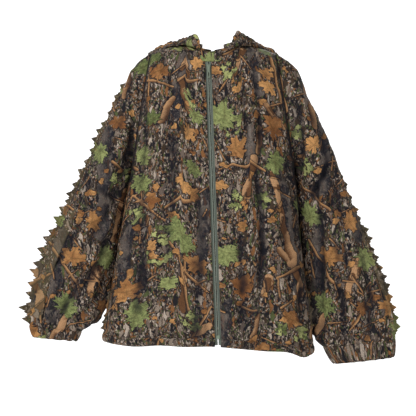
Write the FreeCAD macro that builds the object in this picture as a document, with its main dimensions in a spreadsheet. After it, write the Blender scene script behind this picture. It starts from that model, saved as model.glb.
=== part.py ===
"""Leaf-print field jacket (the top half of a ghillie suit), hanging as if on a dress form.

Row frame in millimetres: +Z up, -Y is the jacket's front, +X is the wearer's left.
The origin is the middle of the neck opening, level with the shoulder's neck point.
Side names are the wearer's: "right" is -X and "left" is +X.
"""
import FreeCAD, Part

import math
import os

doc = FreeCAD.newDocument("leaf_jacket")
sheet = doc.addObject("Spreadsheet::Sheet", "Sizes")

# ---------------------------------------------------------------- driving dimensions

SIZES = {
    # cloth and seams
    "wall": 2.4,               # a panel with its leaf layer
    "clearance": 0.6,          # between pieces on different bodies
    # neck
    "neck_half_width": 66.0,
    "neck_half_depth": 60.0,
    "neck_rise": 12.0,
    # shoulders and chest
    "yoke_half_width": 150.0,
    "yoke_half_depth": 65.0,
    "yoke_drop": 2.0,
    "corner_half_width": 184.0,
    "corner_drop": 28.0,
    "shoulder_half_width": 192.0,
    "shoulder_half_depth": 74.0,
    "shoulder_drop": 60.0,
    "underarm_half_width": 203.0,
    "underarm_drop": 290.0,
    # hem
    "hem_half_width": 262.0,
    "hem_half_depth": 118.0,
    "hem_drop": 722.0,
    "hem_shift": 13.0,         # the hem hangs this far to the wearer's right
    "hem_tilt": 3.0,           # degrees, lower on the wearer's left
    "hem_band": 20.0,
    "hem_band_wall": 6.0,
    "hem_draw_x": 6.0,         # the elastic draws the hem's lower edge in by this much
    "hem_draw_y": 4.0,
    # armholes
    "armhole_top_x": 158.0,
    "armhole_top_drop": 9.0,
    "armhole_half_depth": 36.0,
    "cuff_wall": 5.0,
    # zip
    "zip_foot_rise": 7.5,      # its foot is this far above the hem seam
    "zip_top_drop": 32.0,
    "zip_top_sink": 1.2,       # its tapes lie this far behind the panels' inside
    "zip_foot_sink": 2.2,
    "zip_lean": 24.0,          # the top leans this far to the wearer's right
    "zip_gap": 15.0,           # strip of tape and coil left showing between the panels
    "tape_reach": 15.0,        # from the zip's centre line to a tape's outer edge
    "tape_thickness": 0.8,
    "coil_gap": 1.8,           # between the coils, where the slider's bridge runs
    "coil_width": 2.3,
    "coil_height": 2.2,
    "slider_length": 12.0,
    "slider_plate": 1.3,
    "pull_length": 30.0,
    "pull_width": 6.4,
    "pin_radius": 0.8,
    # hood, lying down
    "hood_half_width": 168.0,
    "hood_half_depth": 44.0,
    "hood_depth": 200.0,       # from its rim to its crown
    "hood_rim_rise": 20.0,
    "hood_centre_width": 110.0,
    "hood_gap": 4.0,           # between the hood and the back panel
    "hood_band": 14.0,
    "collar_rise": 34.0,       # above the origin at the front
    "collar_back_rise": 18.0,
    "collar_half_width": 58.0,
    "collar_notch": 56.0,      # the gap at the front, across
    "collar_trim": 4.0,        # how much narrower it is from front to back at its top
    # inside neck
    "tape_band": 12.0,
    "loop_length": 36.0,
    "loop_drop": 22.0,
    "loop_strap": 5.0,
    # leaf-cut fringes
    "leaf_thickness": 1.2,
}

for row, (alias, value) in enumerate(SIZES.items(), start=1):
    sheet.set(f"A{row}", alias)
    sheet.set(f"B{row}", str(value))
    sheet.setAlias(f"B{row}", alias)
doc.recompute()


def v(alias):
    """The value of a cell."""
    return float(sheet.get(alias))


# Depths at the centre front lie on one straight line, so that the zip lies flat.
FRONT_SLOPE = (v("hem_half_depth") - v("shoulder_half_depth")) / (v("hem_drop") - v("shoulder_drop"))
FRONT_DEPTH = ("Sizes.shoulder_half_depth + ({drop} - Sizes.shoulder_drop)"
               " * (Sizes.hem_half_depth - Sizes.shoulder_half_depth)"
               " / (Sizes.hem_drop - Sizes.shoulder_drop)")


def front_depth(drop):
    """Half the torso's depth at this distance below the origin."""
    return v("shoulder_half_depth") + (drop - v("shoulder_drop")) * FRONT_SLOPE


def side(drop, sign):
    """x of the torso's side seam below the underarm, on the side with this sign."""
    share = (drop - v("underarm_drop")) / (v("hem_drop") - v("underarm_drop"))
    half = v("underarm_half_width") + share * (v("hem_half_width") - v("underarm_half_width"))
    return sign * half - share * v("hem_shift")


# How deep the channel inside a casing is, and the elastic's play in it on each side.
HEM_CHANNEL = ("3", "0.8")
CUFF_CHANNEL = ("2.6", "0.7")

# Sleeve stations from the armhole to the cuff seam: the inner edge's drop, its distance out
# from the torso's side, the sleeve's flat width there, the section's tilt from level in
# degrees, and half its depth. Then the same for the cuff's end, from its seam.
SLEEVES = {
    "right": (-1, [
        (299.0, 4.0, 252.0, 90.0, 40.0),
        (316.0, 8.0, 146.0, 68.0, 42.0),
        (334.0, 12.0, 92.0, 34.0, 42.0),
        (490.0, 12.0, 138.0, 17.0, 40.0),
        (560.0, 12.0, 160.0, 17.0, 38.0),
        (650.0, 20.0, 172.0, 14.0, 36.0),
        (703.0, 62.0, 132.0, 7.0, 30.0),
    ], (22.0, 6.0, 112.0, 4.0)),
    "left": (1, [
        (299.0, 4.0, 254.0, 90.0, 40.0),
        (316.0, 8.0, 150.0, 68.0, 42.0),
        (334.0, 13.0, 98.0, 34.0, 42.0),
        (490.0, 15.0, 134.0, 14.0, 40.0),
        (560.0, 18.0, 148.0, 13.0, 38.0),
        (690.0, 22.0, 176.0, 8.5, 36.0),
        (745.0, 42.0, 164.0, 7.0, 30.0),
    ], (46.0, 8.0, 150.0, 12.0)),
}
ELBOW = 4                                      # the station where the lower sleeve is sewn on
FRINGE_REACH = {"right": 34.0, "left": 22.0}   # how far the sleeve's leaf tips stand out
TOOTH = 30.0                                   # pitch of the large leaf tips
SIDE_LEAVES = (0.845, 0.975)                   # the stretch of the side seam that has leaves

# ---------------------------------------------------------------- helpers


def bind(obj, **expressions):
    """Binds properties to expressions; a double underscore stands for a dot."""
    for name, expression in expressions.items():
        obj.setExpression(name.replace("__", "."), expression)
    return obj


def ellipse(name, major, minor, x="0", y="0", z="0", tilt=None):
    """A closed ellipse, its long axis along X, turned about Y by tilt degrees."""
    e = doc.addObject("Part::Ellipse", name)
    if tilt is not None:
        e.Placement.Rotation = FreeCAD.Rotation(FreeCAD.Vector(0, 1, 0), 1.0)
        e.setExpression("Placement.Rotation.Angle", f"{tilt}")
    return bind(e, MajorRadius=major, MinorRadius=minor, Placement__Base__x=x,
                Placement__Base__y=y, Placement__Base__z=z)


def fuse(name, shapes):
    shape = doc.addObject("Part::MultiFuse", name)
    shape.Shapes = shapes
    return shape


def loft(name, sections):
    """A straight-sided solid through closed sections, one span at a time."""
    spans = []
    for i, ends in enumerate(zip(sections, sections[1:])):
        span = doc.addObject("Part::Loft", f"{name}_span_{i}")
        span.Sections = list(ends)
        span.Solid = True
        span.Ruled = True
        spans.append(span)
    return spans[0] if len(spans) == 1 else fuse(name, spans)


def cut(name, base, tool):
    shape = doc.addObject("Part::Cut", name)
    shape.Base = base
    shape.Tool = tool
    return shape


def common(name, base, tool):
    shape = doc.addObject("Part::Common", name)
    shape.Base = base
    shape.Tool = tool
    return shape


def box(name, length, width, height, x, y, z):
    """A box by its sizes along X, Y and Z and its lowest corner, all expressions."""
    b = doc.addObject("Part::Box", name)
    return bind(b, Length=str(length), Width=str(width), Height=str(height), Placement__Base__x=str(x),
                Placement__Base__y=str(y), Placement__Base__z=str(z))


def hollow(name, stations, wall="Sizes.wall", sinks=()):
    """A tube lofted through (major, minor, x, y, z, tilt) stations, open at both ends.

    sinks lower the inside of the first stations, for the wall of a nearly level stretch."""
    outer = [ellipse(f"{name}_outer_{i}", *station) for i, station in enumerate(stations)]
    inner = []
    for i, (major, minor, x, y, z, tilt) in enumerate(stations):
        sink = sinks[i] if i < len(sinks) else "0"
        inner.append(ellipse(f"{name}_inner_{i}", f"{major} - {wall}", f"{minor} - {wall}", x, y,
                             f"{z} - {sink}", tilt))
    if sinks:
        return cut(f"{name}_shell", loft(f"{name}_outside", outer), loft(f"{name}_inside", inner))
    rings = []
    for i in range(len(stations) - 1):
        outside = loft(f"{name}_outside_{i}", outer[i:i + 2])
        rings.append(cut(f"{name}_ring_{i}", outside, loft(f"{name}_inside_{i}", inner[i:i + 2])))
    return rings[0] if len(rings) == 1 else fuse(f"{name}_shell", rings)


def band(name, stations, wall, cavity, clear):
    """A casing: a thick ring between two stations, with a closed cavity for its elastic, and the elastic."""
    def lofted(part, inset, first, last):
        ends = []
        for i, share in enumerate((first, last)):
            a, b = stations
            mixed = [f"({a[k]}) * {1 - share} + ({b[k]}) * {share}" for k in range(6)]
            ends.append(ellipse(f"{name}_{part}_{i}", f"{mixed[0]} - ({inset})", f"{mixed[1]} - ({inset})",
                                *mixed[2:]))
        return loft(f"{name}_{part}", ends)

    solid = cut(f"{name}_solid", lofted("out", "0", 0, 1), lofted("in", wall, 0, 1))
    middle = f"({wall}) / 2"
    room = cut(f"{name}_room", lofted("room_out", f"{middle} - {cavity} / 2", 0.2, 0.8),
               lofted("room_in", f"{middle} + {cavity} / 2", 0.2, 0.8))
    casing = cut(f"{name}_folded", solid, room)
    half = f"({cavity} / 2 - {clear})"
    elastic = cut(f"{name}_stretch", lofted("elastic_out", f"{middle} - {half}", 0.25, 0.75),
                  lofted("elastic_in", f"{middle} + {half}", 0.25, 0.75))
    return casing, elastic


nodes = []


def node(shape, name):
    """Makes a shape a node of the part under this name."""
    shape.Label = name
    nodes.append(shape)
    return shape


# ---------------------------------------------------------------- torso

BIG = 2000.0      # longer than anything here, for the cutting boxes
hem_station = ("Sizes.hem_half_width", "Sizes.hem_half_depth", "-Sizes.hem_shift", "0", "-Sizes.hem_drop",
               "Sizes.hem_tilt")
torso = hollow("torso", [
    ("Sizes.neck_half_width", "Sizes.neck_half_depth", "0", "0", "Sizes.neck_rise", "0"),
    ("Sizes.yoke_half_width", "Sizes.yoke_half_depth", "0", "0", "-Sizes.yoke_drop", "0"),
    ("Sizes.corner_half_width", FRONT_DEPTH.format(drop="Sizes.corner_drop"), "0", "0",
     "-Sizes.corner_drop", "0"),
    ("Sizes.shoulder_half_width", "Sizes.shoulder_half_depth", "0", "0", "-Sizes.shoulder_drop", "0"),
    ("Sizes.underarm_half_width", FRONT_DEPTH.format(drop="Sizes.underarm_drop"), "0", "0",
     "-Sizes.underarm_drop", "0"),
    hem_station,
], sinks=("Sizes.wall", "Sizes.wall"))
NECK_HOLE = ("Sizes.neck_half_width - Sizes.wall", "Sizes.neck_half_depth - Sizes.wall", "0", "0")
torso = cut("torso_neck", torso, loft("neck_hole", [
    ellipse("neck_hole_low", *NECK_HOLE, "-Sizes.neck_rise"),
    ellipse("neck_hole_high", *NECK_HOLE, "Sizes.neck_rise * 4"),
]))

# The armhole planes run from the shoulder point to the underarm, and lean inwards as they rise.
armhole_angle = math.degrees(math.atan2(v("underarm_half_width") - v("armhole_top_x"),
                                        v("underarm_drop") - v("armhole_top_drop")))
left_cutter = box("left_armhole_cutter", BIG, BIG, "Sizes.underarm_drop * 2",
                  "Sizes.underarm_half_width - Sizes.clearance", -BIG / 2, "-Sizes.underarm_drop")
left_cutter.Placement.Rotation = FreeCAD.Rotation(FreeCAD.Vector(0, 1, 0), -armhole_angle)
right_cutter = doc.addObject("Part::Mirroring", "right_armhole_cutter")
right_cutter.Source = left_cutter
right_cutter.Normal = FreeCAD.Vector(1, 0, 0)
torso = cut("torso_left_armhole", torso, left_cutter)
torso = cut("torso_right_armhole", torso, right_cutter)

# ---------------------------------------------------------------- the zip's own frame

# The zip lies behind the panels' front edges, on a straight line that leans with the cloth.
# It is set deeper than their inside at its foot, where the round of the body falls away most.
top_depth = front_depth(v("zip_top_drop")) - v("wall") - v("zip_top_sink")
zip_top = FreeCAD.Vector(-v("zip_lean") / 2, -top_depth, -v("zip_top_drop"))
zip_foot_drop = v("hem_drop") - v("zip_foot_rise")
foot_depth = front_depth(zip_foot_drop) - v("wall") - v("zip_foot_sink")
zip_foot = FreeCAD.Vector(v("zip_lean") / 2, -foot_depth, -zip_foot_drop)
zip_up = (zip_top - zip_foot).normalize()
zip_frame = FreeCAD.Placement(zip_foot, FreeCAD.Rotation(FreeCAD.Vector(0, 0, 1), zip_up))
zip_run = (zip_top - zip_foot).Length


def in_zip(solid, name, cleaned=True):
    """A solid that is given in the zip's frame: X across, -Y out of the front, Z up the zip."""
    made = doc.addObject("Part::Feature", name)
    made.Shape = solid.removeSplitter() if cleaned else solid
    made.Placement = zip_frame
    return made


def block(x0, x1, y0, y1, z0, z1):
    return Part.makeBox(x1 - x0, y1 - y0, z1 - z0, FreeCAD.Vector(x0, y0, z0))


def mirrored(solid):
    return solid.mirror(FreeCAD.Vector(0, 0, 0), FreeCAD.Vector(1, 0, 0))


half_gap = v("zip_gap") / 2
placket = in_zip(block(-half_gap, half_gap, -BIG / 4, 40.0, -200.0, zip_run + 400.0), "placket_gap")

front = common("torso_front", torso, box("front_half", BIG, BIG / 2, BIG, -BIG / 2, -BIG / 2, -BIG / 2))
opened = cut("torso_front_opened", front, placket)
wearers_right = in_zip(block(-BIG / 2, 0, -BIG / 4, BIG / 4, -BIG / 4, zip_run + BIG / 4), "right_of_zip")
node(common("front_right", opened, wearers_right), "front_panel_right")
node(cut("front_left", opened, wearers_right), "front_panel_left")
node(common("torso_back", torso, box("back_half", BIG, BIG / 2, BIG, -BIG / 2, "0", -BIG / 2)), "back_panel")

# The collar piece that closes the front above the zip's end, between the two panels.
# It is the zip's own garage, a doubled tab of cloth.
garage_slab = in_zip(block(-half_gap + 0.2, half_gap - 0.2, -BIG / 4, 40.0, zip_run + 2.0, zip_run + 200.0),
                     "garage_strip")
node(common("garage", front, garage_slab), "zip_garage")

# ---------------------------------------------------------------- hem casing and its elastic

tilt_shift = "Sizes.hem_band * sin(Sizes.hem_tilt)"
hem_low = (f"{hem_station[0]} - Sizes.hem_draw_x", f"{hem_station[1]} - Sizes.hem_draw_y",
           f"{hem_station[2]} - {tilt_shift}", "0",
           "-Sizes.hem_drop - Sizes.hem_band", "Sizes.hem_tilt")
hem_casing, hem_elastic = band("hem", (hem_station, hem_low), "Sizes.hem_band_wall", *HEM_CHANNEL)
hem_front = common("hem_front", hem_casing, box("hem_front_half", BIG, BIG / 2, BIG, -BIG / 2, -BIG / 2,
                                                -BIG / 2))
hem_opened = cut("hem_front_opened", hem_front, placket)
node(common("hem_right", hem_opened, wearers_right), "hem_casing_right")
node(cut("hem_left", hem_opened, wearers_right), "hem_casing_left")
node(common("hem_back", hem_casing, box("hem_back_half", BIG, BIG / 2, BIG, -BIG / 2, "0", -BIG / 2)),
     "hem_casing_back")
wide_placket = in_zip(block(-half_gap - 1, half_gap + 1, -BIG / 4, 40.0, -200.0, zip_run), "elastic_gap")
node(cut("hem_elastic_opened", hem_elastic, wide_placket), "hem_elastic")

# ---------------------------------------------------------------- sleeves


def station(sign, drop, out, width, tilt, half_depth, inner_x=None):
    """A sleeve section (major, minor, x, y, z, turn), and its outer edge point (x, z)."""
    x = (side(drop, sign) if inner_x is None else inner_x) + sign * out
    dx, dz = sign * math.cos(math.radians(tilt)), math.sin(math.radians(tilt))
    turn = math.degrees(math.atan2(-dz, dx))
    section = (width / 2, half_depth, x + dx * width / 2, 0.0, -drop + dz * width / 2, turn)
    return section, (x + dx * width, -drop + dz * width)


def ring_edge(section, inset):
    """The closed edge of a sleeve section, set in by inset."""
    major, minor, x, y, z, turn = section
    edge = Part.Ellipse(FreeCAD.Vector(0, 0, 0), major - inset, minor - inset).toShape()
    turned = FreeCAD.Rotation(FreeCAD.Vector(0, 1, 0), turn)
    edge.Placement = FreeCAD.Placement(FreeCAD.Vector(x, y, z), turned)
    return edge


def fanned_tube(name, sections):
    """A cloth tube whose sections turn too sharply for a loft: ruled walls and two flat ends."""
    walls = [[ring_edge(section, inset) for section in sections] for inset in (0.0, v("wall"))]
    faces = [Part.makeRuledSurface(*pair) for edges in walls for pair in zip(edges, edges[1:])]
    for end in (0, -1):
        rims = [Part.Wire([edges[end]]) for edges in walls]
        faces.append(Part.makeFace(rims, "Part::FaceMakerBullseye"))
    shell = Part.makeShell(faces)
    shell.sewShape()
    solid = Part.makeSolid(shell)
    if solid.Volume < 0:
        solid.reverse()
    made = doc.addObject("Part::Feature", name)
    made.Shape = solid
    return made


def fringe(name, points, sign, reach, first=0.0, last=1.0):
    """A leaf-cut strip in the XZ plane along a polyline: large tips with a small one between."""
    lengths = [math.dist(a, b) for a, b in zip(points, points[1:])]
    total = sum(lengths)

    def at(distance):
        for (a, b), length in zip(zip(points, points[1:]), lengths):
            if distance <= length + 1e-9:
                share = distance / length
                ux, uz = (b[0] - a[0]) / length, (b[1] - a[1]) / length
                normal = (sign * abs(uz), sign * ux * (1 if uz < 0 else -1))
                return (a[0] + share * (b[0] - a[0]), a[1] + share * (b[1] - a[1])), normal
            distance -= length
        return points[-1], normal

    count = max(1, int((last - first) * total / TOOTH))
    pitch = (last - first) * total / count
    edge, root = [], []
    gap = v("clearance") / 2
    for i in range(count):
        for share, height in ((0.0, 0.30), (0.35, 1.0), (0.55, 0.35), (0.75, 0.62)):
            p, n = at(first * total + (i + share) * pitch)
            droop = 0.25 * pitch if height == 1.0 else 0.0
            edge.append(FreeCAD.Vector(p[0] + n[0] * reach * height, 0, p[1] + n[1] * reach * height - droop))
    breaks = [d for d in [0.0] + [sum(lengths[:k + 1]) for k in range(len(lengths))]
              if first * total < d < last * total]
    for distance in [first * total] + breaks + [last * total]:
        p, n = at(distance)
        root.append(FreeCAD.Vector(p[0] + n[0] * gap, 0, p[1] + n[1] * gap))
    outline = Part.makePolygon(root + edge[::-1] + [root[0]])
    solid = Part.Face(outline).extrude(FreeCAD.Vector(0, v("leaf_thickness"), 0))
    solid.translate(FreeCAD.Vector(0, -v("leaf_thickness") / 2, 0))
    made = doc.addObject("Part::Feature", name)
    made.Shape = solid
    return node(made, name)


armhole_width = math.dist((v("armhole_top_x"), v("armhole_top_drop")),
                          (v("underarm_half_width"), v("underarm_drop")))
for name, (sign, rows, (cuff_drop, cuff_out, cuff_width, cuff_tilt)) in SLEEVES.items():
    first = station(sign, v("underarm_drop"), 0.0, armhole_width, 90.0 + armhole_angle,
                    v("armhole_half_depth"), inner_x=sign * v("underarm_half_width"))
    placed = [first] + [station(sign, *row) for row in rows]
    sections = [section for section, outer in placed]
    node(fanned_tube(f"upper_{name}", sections[:ELBOW + 1]), f"sleeve_upper_{name}")
    node(fanned_tube(f"lower_{name}", sections[ELBOW:]), f"sleeve_lower_{name}")
    last = rows[-1]
    cuff_end, _ = station(sign, last[0] + cuff_drop, last[1] + cuff_out, cuff_width, cuff_tilt,
                                  last[4] - 4.0)
    cuff_ends = [tuple(str(round(number, 4)) for number in section) for section in (sections[-1], cuff_end)]
    casing, elastic = band(f"cuff_{name}", cuff_ends, "Sizes.cuff_wall", *CUFF_CHANNEL)
    node(casing, f"cuff_casing_{name}")
    node(elastic, f"cuff_elastic_{name}")
    edge = [outer for section, outer in placed]
    fringe(f"sleeve_leaves_{name}", edge, sign, FRINGE_REACH[name], first=0.06 if sign < 0 else 0.3)

# Leaf-cut fringe on each side seam, below where the sleeve leaves the body.
for name, sign, reach in (("right", -1, 10.0), ("left", 1, 8.0)):
    tilt = math.radians(v("hem_tilt"))
    under = (sign * v("underarm_half_width"), -v("underarm_drop"))
    corner = (sign * v("hem_half_width") * math.cos(tilt) - v("hem_shift"),
              -v("hem_drop") - sign * v("hem_half_width") * math.sin(tilt))
    seam = [tuple(a + share * (b - a) for a, b in zip(under, corner)) for share in SIDE_LEAVES]
    fringe(f"side_leaves_{name}", seam, sign, reach)

# ---------------------------------------------------------------- collar and hood

collar = hollow("collar", [
    ("Sizes.neck_half_width", "Sizes.neck_half_depth", "0", "0", "Sizes.neck_rise", "0"),
    ("Sizes.collar_half_width", "Sizes.neck_half_depth - Sizes.collar_trim", "0", "0",
     "Sizes.collar_rise + Sizes.collar_trim", "0"),
])
slope = math.atan2(v("collar_rise") - v("collar_back_rise"), 2 * v("neck_half_depth"))
below_y = -BIG / 2 * (math.cos(slope) + math.sin(slope))
below_z = BIG / 2 * (math.sin(slope) - math.cos(slope))
below_collar = box("below_collar", BIG, BIG, BIG / 2, -BIG / 2, below_y,
                   f"(Sizes.collar_rise + Sizes.collar_back_rise) / 2 + {below_z}")
below_collar.Placement.Rotation = FreeCAD.Rotation(FreeCAD.Vector(1, 0, 0), -math.degrees(slope))
collar = common("collar_sloped", collar, below_collar)
collar_notch = box("collar_notch", "Sizes.collar_notch", BIG, BIG, "-Sizes.collar_notch / 2", -BIG, -BIG / 2)
collar = cut("collar_notched", collar, collar_notch)
right_half = box("right_half", BIG / 2, BIG, BIG, -BIG / 2, -BIG / 2, -BIG / 2)
node(common("collar_right", collar, right_half), "hood_collar_right")
node(cut("collar_left", collar, right_half), "hood_collar_left")

hood_y = f"({FRONT_DEPTH.format(drop='Sizes.hood_depth')}) + Sizes.hood_gap + Sizes.hood_half_depth"
hood_centre_y = front_depth(v("hood_depth")) + v("hood_gap") + v("hood_half_depth")


def bowl(name, inset):
    """The lower half of an ellipsoid, its flat side at the hood's rim."""
    e = doc.addObject("Part::Ellipsoid", name)
    e.Angle1 = -90
    e.Angle2 = 0
    return bind(e, Radius1=f"Sizes.hood_depth - {inset}", Radius2=f"Sizes.hood_half_width - {inset}",
                Radius3=f"Sizes.hood_half_depth - {inset}", Placement__Base__y=hood_y,
                Placement__Base__z="Sizes.hood_rim_rise")


hood_shell = cut("hood_shell", bowl("hood_outside", "0"), bowl("hood_inside", "Sizes.wall"))
centre_slab = box("hood_centre_slab", "Sizes.hood_centre_width", BIG, BIG, "-Sizes.hood_centre_width / 2",
                  -BIG / 2, -BIG / 2)
hood_sides = cut("hood_sides", hood_shell, centre_slab)
node(common("hood_right", hood_sides, right_half), "hood_side_right")
node(cut("hood_left", hood_sides, right_half), "hood_side_left")
# The centre panel runs on from the crown, over the rim, to the seam behind the neck.
hood_neck = box("hood_neck", "Sizes.hood_centre_width",
                f"{hood_y} - Sizes.hood_half_depth + 2 * Sizes.wall - Sizes.neck_half_depth", "Sizes.wall",
                "-Sizes.hood_centre_width / 2", "Sizes.neck_half_depth", "Sizes.hood_rim_rise - Sizes.wall / 2")
node(fuse("hood_centre", [common("hood_crown", hood_shell, centre_slab), hood_neck]), "hood_centre_panel")

rim_station = ("Sizes.hood_half_width", "Sizes.hood_half_depth", "0", hood_y, "Sizes.hood_rim_rise", "0")
rim_top = rim_station[:4] + ("Sizes.hood_rim_rise + Sizes.hood_band", "0")
rim_casing, rim_elastic = band("hood_rim", (rim_station, rim_top), "Sizes.cuff_wall", *CUFF_CHANNEL)
rim_back = box("rim_back_half", BIG, BIG / 2, BIG, -BIG / 2, hood_y, -BIG / 2)
node(common("rim_casing", rim_casing, rim_back), "hood_edge_casing")
node(common("rim_elastic", rim_elastic, rim_back), "hood_elastic")

# ---------------------------------------------------------------- neck tape and hang loop

TAPE_GAP = 0.1
TAPE_WALL = 1.2
TAPE_ENDS_Y = 8.0     # how far behind the shoulder seams the tape's two ends lie
tape_ring = (f"Sizes.neck_half_width - Sizes.wall - {TAPE_GAP}",
             f"Sizes.neck_half_depth - Sizes.wall - {TAPE_GAP}", "0", "0")
neck_tape = hollow("neck_tape_ring", [
    (*tape_ring, "Sizes.neck_rise - Sizes.tape_band", "0"),
    (*tape_ring, "Sizes.neck_rise - 0.3", "0"),
], wall=str(TAPE_WALL))
behind_neck = box("behind_neck", BIG, BIG, BIG, -BIG / 2, TAPE_ENDS_Y, -BIG / 2)
node(common("neck_tape_back", neck_tape, behind_neck), "neck_tape")

STRAP = 1.6
tape_a = v("neck_half_width") - v("wall") - TAPE_GAP - TAPE_WALL
tape_b = v("neck_half_depth") - v("wall") - TAPE_GAP - TAPE_WALL
loop_y = tape_b * math.sqrt(1 - (v("loop_length") / 2 / tape_a) ** 2) - STRAP - 0.2
loop_top = v("neck_rise") - 3.0
strap_outside = box("loop_outside", "Sizes.loop_length", STRAP, "Sizes.loop_drop", "-Sizes.loop_length / 2",
                    loop_y, f"{loop_top} - Sizes.loop_drop")
strap_inside = box("loop_inside", "Sizes.loop_length - 2 * Sizes.loop_strap", 3 * STRAP,
                   "Sizes.loop_drop - 2 * Sizes.loop_strap", "Sizes.loop_strap - Sizes.loop_length / 2",
                   loop_y - STRAP, f"{loop_top} - Sizes.loop_drop + Sizes.loop_strap")
node(cut("loop_strap", strap_outside, strap_inside), "hang_loop")

# ---------------------------------------------------------------- zip

coil_in = v("coil_gap") / 2
coil_out = coil_in + v("coil_width")
tape = block(-v("tape_reach"), -coil_in - 0.3, 0, v("tape_thickness"), 0, zip_run)
node(in_zip(tape, "tape_right"), "zip_tape_right")
node(in_zip(mirrored(tape), "tape_left"), "zip_tape_left")

BOX_HEIGHT = 9.0
PIN_HEIGHT = 22.0
STOP = 3.0
coil_right = block(-coil_out, -coil_in, -v("coil_height"), 0, BOX_HEIGHT + 0.5, zip_run - STOP - 0.5)
coil_left = block(coil_in, coil_out, -v("coil_height"), 0, PIN_HEIGHT + 0.5, zip_run - STOP - 0.5)
node(in_zip(coil_right, "coil_right"), "zip_coil_right")
node(in_zip(coil_left, "coil_left"), "zip_coil_left")
stops = block(-coil_out, -coil_in, -v("coil_height"), 0, zip_run - STOP, zip_run)
node(in_zip(Part.makeCompound([stops, mirrored(stops)]), "top_stops", cleaned=False), "zip_top_stops")

pin = block(coil_in + 0.4, coil_out - 0.4, -1.7, -0.4, 1.0, PIN_HEIGHT)
node(in_zip(pin, "insertion_pin"), "zip_pin")
retainer = block(-coil_out - 1.0, coil_out + 1.0, -v("coil_height") - 0.6, 0, 0, BOX_HEIGHT)
retainer = retainer.cut(block(coil_in + 0.1, coil_out - 0.1, -2.0, -0.1, 0.7, BOX_HEIGHT + 1))
node(in_zip(retainer, "retainer_box"), "zip_box")

# Slider: a front and a back plate joined by a narrow bridge that runs between the coils.
SLIDE_GAP = 0.4
length, plate = v("slider_length"), v("slider_plate")
park = zip_run - STOP - length / 2 - 6.0      # the slider's middle when the zip is closed
flange_in = coil_out + SLIDE_GAP
flange_out = flange_in + plate
front_face = -v("coil_height") - SLIDE_GAP - plate
slider = block(-flange_out, flange_out, front_face, front_face + plate, park - length / 2, park + length / 2)
slider = slider.fuse(block(-flange_out, flange_out, v("tape_thickness") + SLIDE_GAP,
                           v("tape_thickness") + SLIDE_GAP + plate, park - length / 2, park + length / 2))
bridge = coil_in - SLIDE_GAP
tape_bridge = min(bridge, coil_in + 0.3 - SLIDE_GAP)
slider = slider.fuse(block(-tape_bridge, tape_bridge, front_face, v("tape_thickness") + SLIDE_GAP + plate,
                           park + length / 2 - 4.0, park + length / 2))
for x0, x1 in ((-flange_out, -flange_in), (flange_in, flange_out)):
    slider = slider.fuse(block(x0, x1, front_face, -SLIDE_GAP, park - length / 2, park + length / 2))
ear_half = v("pull_width") / 2 + SLIDE_GAP
pin_y = front_face - 2.2
pin_z = park + 2.0
for x0, x1 in ((-ear_half - 0.8, -ear_half), (ear_half, ear_half + 0.8)):
    slider = slider.fuse(block(x0, x1, pin_y - 1.4, front_face, pin_z - 1.6, pin_z + 1.6))
axle = Part.makeCylinder(v("pin_radius"), 2 * ear_half + 1.0,
                         FreeCAD.Vector(-ear_half - 0.5, pin_y, pin_z), FreeCAD.Vector(1, 0, 0))
slider = slider.fuse(axle)
node(in_zip(slider, "slider_body"), "zip_slider")

# Pull: an eye round the slider's axle and a tapered tab with a slot, hanging down.
eye_radius = v("pin_radius") + 1.0
half_width = v("pull_width") / 2
eye = Part.makeCylinder(eye_radius, v("pull_width"), FreeCAD.Vector(-half_width, pin_y, pin_z),
                        FreeCAD.Vector(1, 0, 0))
tab = block(-half_width, half_width, pin_y - 1.4, pin_y - 0.1, pin_z - v("pull_length"), pin_z)
slot = block(-half_width + 1.8, half_width - 1.8, pin_y - 3.0, pin_y + 2.0,
             pin_z - v("pull_length") + 3.0, pin_z - v("pull_length") + 13.0)
pull = eye.fuse(tab).cut(slot)
pull = pull.cut(Part.makeCylinder(v("pin_radius") + 0.1, v("pull_width") + 2.0,
                                  FreeCAD.Vector(-half_width - 1.0, pin_y, pin_z),
                                  FreeCAD.Vector(1, 0, 0)))
node(in_zip(pull, "pull_tab"), "zip_pull")

# ---------------------------------------------------------------- build, check and write

doc.recompute()
for obj in doc.Objects:
    failed = [word for word in ("Invalid", "Error") if word in obj.State]
    if failed:
        raise RuntimeError(f"{obj.Label} is {failed}")

os.makedirs("parts", exist_ok=True)
for obj in nodes:
    shape = obj.Shape
    if shape.isNull() or not shape.isValid() or not shape.Solids:
        raise RuntimeError(f"{obj.Label} has no valid solid")
    shape.exportStep(f"parts/{obj.Label}.step")
    bounds = shape.BoundBox
    print(f"{obj.Label:22s} solids {len(shape.Solids)}  volume {shape.Volume / 1000:9.2f} cm3"
          f"  x {bounds.XMin:7.1f} {bounds.XMax:7.1f}  y {bounds.YMin:7.1f} {bounds.YMax:7.1f}"
          f"  z {bounds.ZMin:7.1f} {bounds.ZMax:7.1f}")

axle_point = zip_frame.multVec(FreeCAD.Vector(0, pin_y, pin_z))
across = zip_frame.Rotation.multVec(FreeCAD.Vector(1, 0, 0))
print("zip axis up", tuple(round(c, 6) for c in zip_up), "across", tuple(round(c, 6) for c in across))
print("pull axle", tuple(round(c, 3) for c in axle_point), "slider travel",
      round(park - length / 2 - PIN_HEIGHT - 1.0, 2))
print("hood centre y", round(hood_centre_y, 3), "armhole angle", round(armhole_angle, 3))
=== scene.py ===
# %% [markdown]
# # A leaf-print hooded jacket
# The jacket hangs with its sleeves down, its zip closed and its hood lying back. The frame holds the
# working model, in metres: +Z is up, -Y is out of the jacket's front, and +X is the wearer's left.
# Every piece below is drawn round that model; most ride on one of its bodies, and the sleeves, their leaf strips
# and the hood are only baked in place.

# %% The frame
import math
import random

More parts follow.
